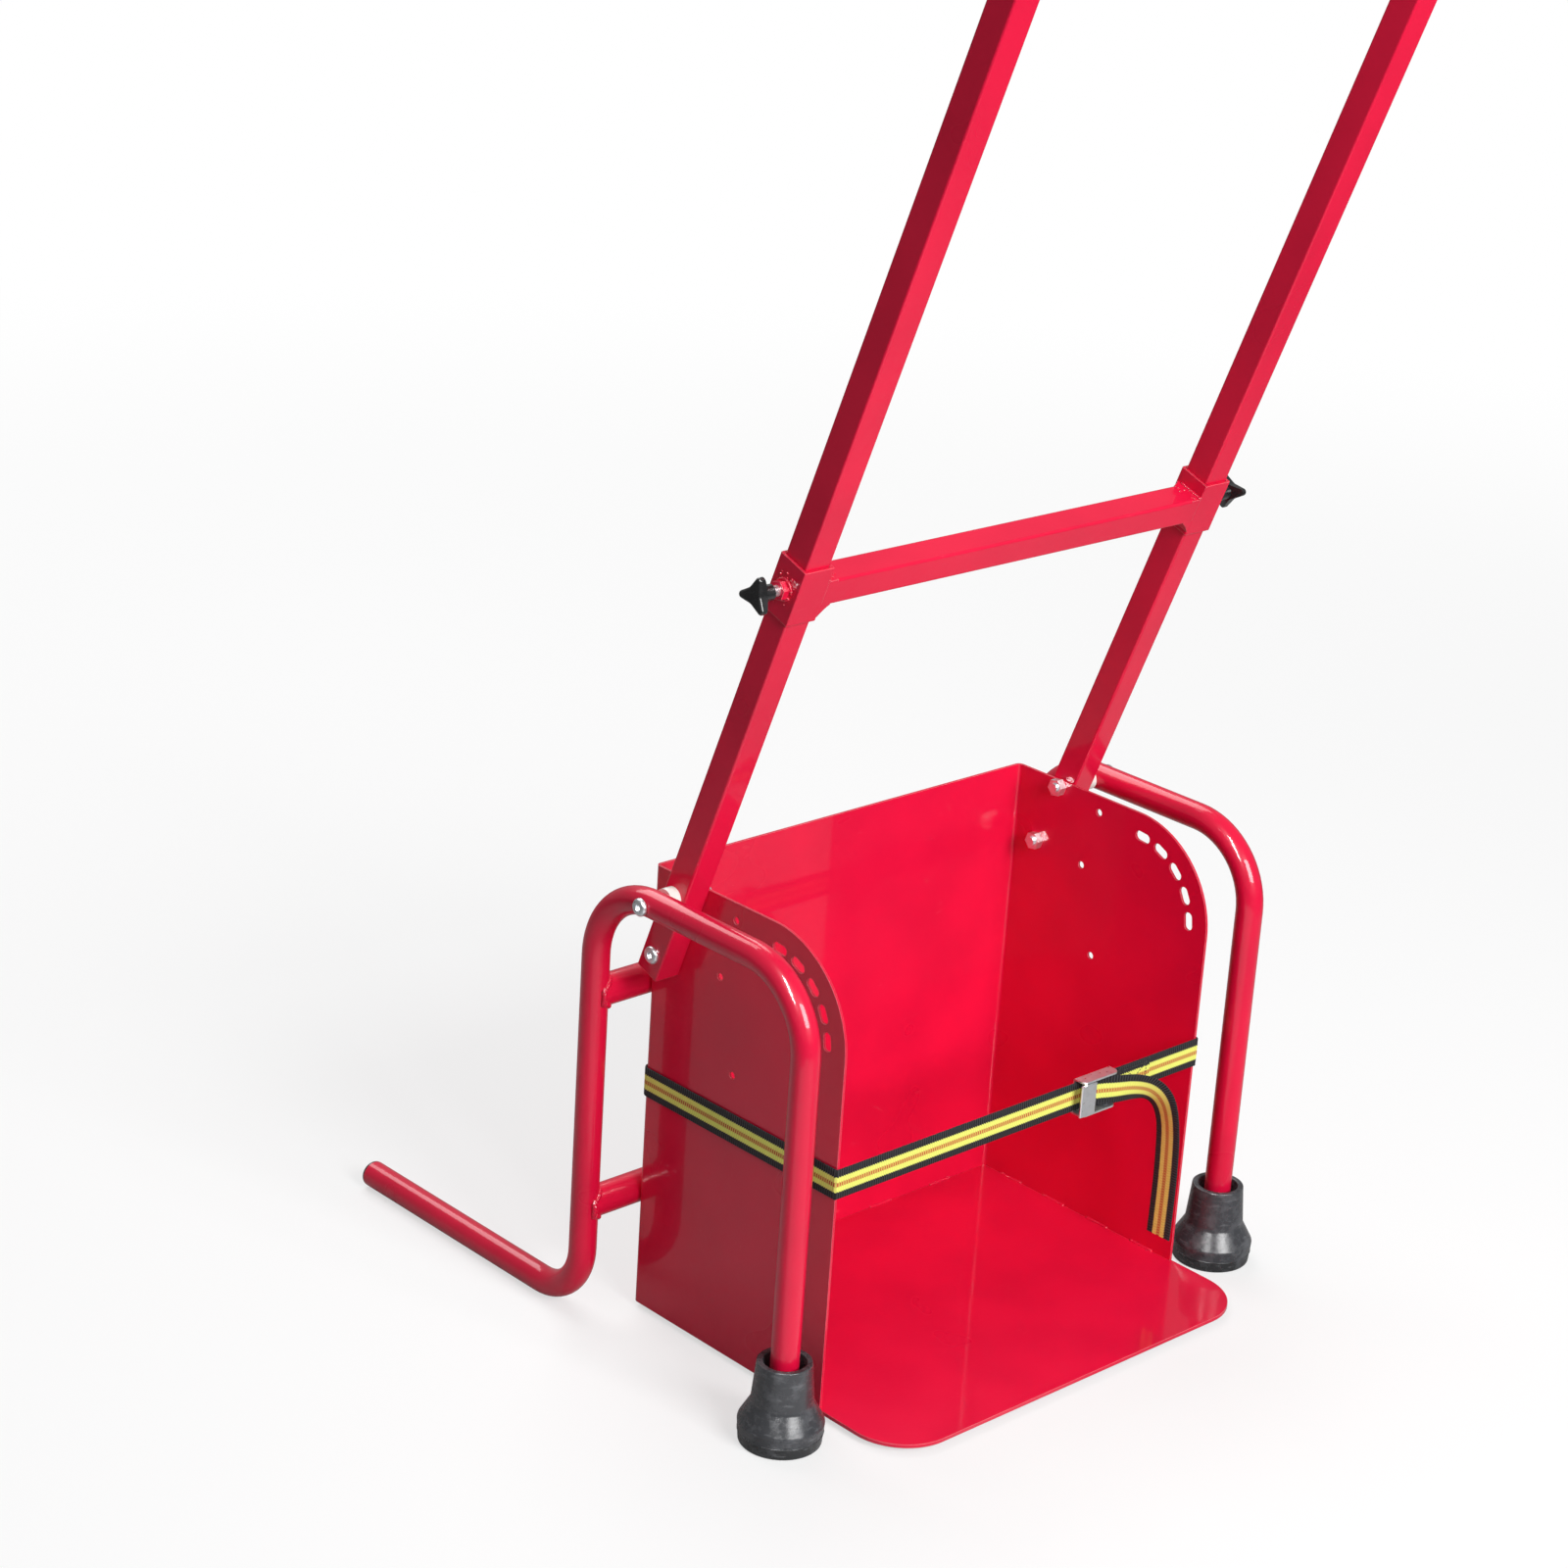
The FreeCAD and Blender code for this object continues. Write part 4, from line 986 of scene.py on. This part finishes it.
class TIPPER_OT_lay_welds(bpy.types.Operator):
    """Lay the painted weld beads on the stand, the cradle and the retainer"""
    bl_idname = "tipper.lay_welds"
    bl_label = "Lay the welds"

    def execute(self, context):
        settings = context.scene.tipper
        paint = settings.paint
        stand, cradle, retainer = [], [], []
        floor_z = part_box("tongue_plate")[1].z
        for name, side in SIDES:
            for tube in ("cross_tube_upper", "cross_tube_lower"):
                stand.append((saddle(tube, "side_frame_" + name, side), True))
            end_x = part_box("retainer_crossbar")[1].x * side
            bar_half = section_half("retainer_crossbar")
            top_edge = square_seam(end_x, middle("retainer_crossbar"), bar_half)[2:]
            retainer.append((top_edge, False))
            grip_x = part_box("handle_grip")[1].x * side
            grip_half = section_half("handle_grip") * GRIP_SEAM_SHARE
            cradle.append((square_seam(grip_x, middle("handle_grip"), grip_half), True))
            retainer += nut_arcs(name, side)
            wall_x = (SHELL_HIGH.x - SHEET) * side
            first = Vector((wall_x, SHELL_LOW.y + SIDE_TACK_START, floor_z))
            cradle += tack_row(first, Vector((0, 1, 0)), SIDE_TACK_STEP, SIDE_TACKS)
        first = Vector((BACK_TACK_START, SHELL_HIGH.y - SHEET, floor_z))
        cradle += tack_row(first, Vector((1, 0, 0)), BACK_TACK_STEP, BACK_TACKS)
        tree = bead_tree()
        for body, paths, radius in (
            ("stand", stand, paint.weld_radius),
            ("cradle", cradle, paint.small_weld_radius),
            ("retainer", retainer, paint.small_weld_radius),
        ):
            values = {"Radius": radius, "Ripple": paint.ripple, "Swell": WELD_SWELL, "Seed": paint.seed}
            name = "welds_" + body
            mesh = grown(name, wire_mesh(name + "_paths", paths), tree, values)
            new_piece(name, mesh, body, "red_paint", settings)
        return {"FINISHED"}


# Spatter: corners of the patch round a nut, reach on the crossbar and sizes of the drops, in metres
NUT_PATCH = ((-0.010, -0.014), (0.010, -0.014), (0.010, 0.016), (-0.010, 0.016))
BAR_PATCH = 0.012
SMALLEST_DROP = 0.0004
LARGEST_DROP = 0.0011
DROPS_PER_SQUARE_METRE = 26000.0


class TIPPER_OT_throw_spatter(bpy.types.Operator):
    """Scatter painted weld spatter round the clamp nuts and on the crossbar's ends"""
    bl_idname = "tipper.throw_spatter"
    bl_label = "Throw spatter"

    def execute(self, context):
        settings = context.scene.tipper
        half = section_half("retainer_crossbar")
        bar_back, bar_along = on_bar(middle("retainer_crossbar"))
        points = []
        for name, side in SIDES:
            seat_x, back, along = nut_seat(name, side)
            points += [leaned(seat_x, back + a, along + b) for a, b in NUT_PATCH]
            end_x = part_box("retainer_crossbar")[1].x * side
            near_x = end_x - side * BAR_PATCH
            corners = ((near_x, -half), (end_x, -half), (end_x, half), (near_x, half))
            points += [leaned(x, bar_back + a, bar_along + half) for x, a in corners]
        patch = bpy.data.meshes.new("spatter_patch")
        patch.from_pydata(points, [], [tuple(range(i, i + 4)) for i in range(0, len(points), 4)])
        values = {"Density": DROPS_PER_SQUARE_METRE, "Smallest": SMALLEST_DROP, "Largest": LARGEST_DROP,
                  "Seed": settings.paint.seed}
        mesh = grown("weld_spatter", patch, spatter_tree(), values)
        new_piece("weld_spatter", mesh, "retainer", "red_paint", settings)
        return {"FINISHED"}


class TIPPER_OT_cut_threads(bpy.types.Operator):
    """Cut the screw threads that show on the clamp studs"""
    bl_idname = "tipper.cut_threads"
    bl_label = "Cut the threads"

    def execute(self, context):
        settings = context.scene.tipper
        tree = thread_tree()
        for name, side in SIDES:
            nut_low, nut_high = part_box("clamp_nut_" + name)
            knob_low, knob_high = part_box("star_knob_" + name)
            start, end = (knob_high.x, nut_low.x) if side < 0 else (nut_high.x, knob_low.x)
            spot = middle("clamp_stud_" + name)
            base = bpy.data.meshes.new("stud_start_" + name)
            base.from_pydata([(start, spot.y, spot.z)], [], [])
            values = {"Radius": STUD_RADIUS - STUD_PITCH * THREAD_SINK_SHARE, "Pitch": STUD_PITCH,
                      "Length": end - start}
            mesh = grown("stud_thread_" + name, base, tree, values)
            new_piece("stud_thread_" + name, mesh, "knob_" + name, "zinc", settings)
        return {"FINISHED"}


# The parting line: points of its ring, and its bead in metres
PARTING_POINTS = 96
PARTING_BEAD = {"Radius": 0.0005, "Ripple": 0.008, "Swell": 0.5, "Seed": 3}


class TIPPER_OT_mould_feet(bpy.types.Operator):
    """Add the moulded parting line round each rubber foot"""
    bl_idname = "tipper.mould_feet"
    bl_label = "Mould the feet"

    def execute(self, context):
        settings = context.scene.tipper
        paths = []
        for name, _ in SIDES:
            centre = middle("rubber_foot_" + name)
            ring = []
            for i in range(PARTING_POINTS):
                angle = 2 * math.pi * i / PARTING_POINTS
                x = centre.x + FOOT_PARTING_RADIUS * math.cos(angle)
                y = centre.y + FOOT_PARTING_RADIUS * math.sin(angle)
                ring.append(Vector((x, y, FOOT_PARTING_HEIGHT)))
            paths.append((ring, True))
        mesh = grown("foot_parting_lines", wire_mesh("foot_rings", paths), bead_tree(), PARTING_BEAD)
        new_piece("foot_parting_lines", mesh, "stand", "rubber", settings)
        return {"FINISHED"}


# Stage: places, sizes and reaches in metres, shares from 0 to 1, and colours
FLOOR_REACH = 30.0
AIM = Vector((0, 0, 0.45))
KEY_PLACE = Vector((-0.35, -3.0, 1.95))
KEY_SIZE = (1.7, 1.5)
TOP_PLACE = Vector((0.5, 1.9, 2.7))
TOP_SIZE = (2.6, 1.8)
GLOSS_PLACE = Vector((-1.55, -1.05, 2.25))
GLOSS_SIZE = (0.45, 1.5)
CARD_X = (-1.0, -0.8, -0.1, 0.05)
CARD_Y = (-1.4, -1.1, -0.27, -0.17)
CARD_SHARE = 0.85
FLOOR_GLOSS_SHARE = 0.08
SKY_GLOSS_SHARE = 0.05
DARK_REACH = (0.8, 1.6)
DARK_SHARE = 0.85
DARK_FLOOR = (0.02, 0.02, 0.02)
GLOW_REACH = (0.6, 3.5)
GLOW_SHARE = 0.62
WHITE = (1.0, 1.0, 1.0)
SENSOR_MM = 36


def seen_rays(graph, off_gloss):
    """1 for rays from the camera and through glass, and this share for rays off gloss."""
    camera = graph.ray("Is Camera Ray")
    glossy = graph.ray("Is Glossy Ray")
    through = graph.ray("Is Transmission Ray")
    return camera.top(glossy * off_gloss).top(through)


def floor_material(stage):
    """Pale matt floor with the shadow; the gloss sees a bright card in front and a dark far floor."""
    material, graph = material_graph("studio_floor")
    place = graph.place()
    x = graph.axis(place, "X")
    y = graph.axis(place, "Y")
    card = x.within(*CARD_X) * y.within(*CARD_Y)
    seen = seen_rays(graph, card * CARD_SHARE + FLOOR_GLOSS_SHARE)
    colour = graph.mix(seen, tuple(stage.floor_bounce), tuple(stage.floor))
    glossy = graph.ray("Is Glossy Ray")
    reach = graph.node("ShaderNodeVectorMath", {"operation": "LENGTH"}, {0: place}, "Value")
    colour = graph.mix(glossy * reach.step(*DARK_REACH) * DARK_SHARE, colour, DARK_FLOOR)
    matt = graph.node("ShaderNodeBsdfDiffuse", {}, {"Color": colour})
    glow = graph.node("ShaderNodeEmission", {}, {"Color": opaque(WHITE), "Strength": 1.0})
    share = reach.step(*GLOW_REACH) * (1 - GLOW_SHARE) + GLOW_SHARE
    both = graph.node("ShaderNodeMixShader", {}, {0: seen * share, 1: matt, 2: glow})
    graph.node("ShaderNodeOutputMaterial", {}, {"Surface": both})
    return material


def area_light(name, place, size, power):
    """A soft rectangular lamp that points at the middle of the object."""
    lamp = bpy.data.lights.new(name, "AREA")
    lamp.shape = "RECTANGLE"
    lamp.size, lamp.size_y = size
    lamp.energy = power
    light = placed(name, lamp)
    light.location = place
    light.rotation_euler = (AIM - place).to_track_quat("-Z", "Y").to_euler()
    return light


class TIPPER_OT_set_stage(bpy.types.Operator):
    """Set the floor, the studio light, the background and the camera"""
    bl_idname = "tipper.set_stage"
    bl_label = "Set the stage"

    def execute(self, context):
        stage = context.scene.tipper.stage
        self.lay_floor(stage)
        self.light(context.scene, stage)
        self.aim_camera(context.scene, stage)
        context.scene.view_settings.view_transform = "Standard"
        return {"FINISHED"}

    def lay_floor(self, stage):
        corners = [(FLOOR_REACH * a, FLOOR_REACH * b, 0) for a, b in CORNERS]
        mesh = bpy.data.meshes.new("floor")
        mesh.from_pydata(corners, [], [(0, 1, 2, 3)])
        mesh.materials.append(floor_material(stage))
        floor = placed("floor", mesh)

    def light(self, scene, stage):
        area_light("key_light", KEY_PLACE, KEY_SIZE, stage.key_power)
        area_light("top_light", TOP_PLACE, TOP_SIZE, stage.top_power)
        strip = area_light("gloss_light", GLOSS_PLACE, GLOSS_SIZE, stage.gloss_power)
        strip.visible_diffuse = False
        world = bpy.data.worlds.new("studio")
        world.use_nodes = True
        world.node_tree.nodes.clear()
        graph = Graph(world.node_tree)
        strength = seen_rays(graph, SKY_GLOSS_SHARE) * (1 - stage.fill) + stage.fill
        sockets = {"Color": opaque(WHITE), "Strength": strength}
        sky = graph.node("ShaderNodeBackground", {}, sockets)
        graph.node("ShaderNodeOutputWorld", {}, {"Surface": sky})
        scene.world = world

    def aim_camera(self, scene, stage):
        a, e, r = stage.azimuth, stage.elevation, stage.roll
        back = Vector((math.sin(a) * math.cos(e), -math.cos(a) * math.cos(e), math.sin(e)))
        level = Vector((math.cos(a), math.sin(a), 0))
        upright = back.cross(level)
        right = level * math.cos(r) + upright * math.sin(r)
        up = upright * math.cos(r) - level * math.sin(r)
        data = bpy.data.cameras.new("camera")
        data.sensor_width = SENSOR_MM
        data.lens = stage.focal_share * data.sensor_width
        camera = placed("camera", data)
        turn = Matrix((right, up, back)).transposed().to_4x4()
        camera.matrix_world = Matrix.Translation(Vector(stage.camera_place)) @ turn
        scene.camera = camera


OPERATORS = (
    TIPPER_OT_finish_pieces,
    TIPPER_OT_weave_strap,
    TIPPER_OT_hang_tail,
    TIPPER_OT_sew_strap,
    TIPPER_OT_dress_welds,
    TIPPER_OT_lay_welds,
    TIPPER_OT_throw_spatter,
    TIPPER_OT_cut_threads,
    TIPPER_OT_mould_feet,
    TIPPER_OT_set_stage,
)


class TIPPER_PT_panel(bpy.types.Panel):
    """Lists the steps that finish the drum tipper"""
    bl_idname = "TIPPER_PT_panel"
    bl_label = "Drum tipper"
    bl_space_type = "VIEW_3D"
    bl_region_type = "UI"
    bl_category = "Tipper"

    def draw(self, context):
        for operator in OPERATORS:
            self.layout.operator(operator.bl_idname)


CLASSES = (PaintSettings, StrapSettings, StageSettings, TipperSettings, *OPERATORS, TIPPER_PT_panel)


def register():
    for item in CLASSES:
        bpy.utils.register_class(item)
    bpy.types.Scene.tipper = PointerProperty(type=TipperSettings)


def unregister():
    del bpy.types.Scene.tipper
    for item in reversed(CLASSES):
        bpy.utils.unregister_class(item)


def main():
    register()
    for operator in OPERATORS:
        group, name = operator.bl_idname.split(".")
        getattr(getattr(bpy.ops, group), name)()


if __name__ == "__main__":
    main()
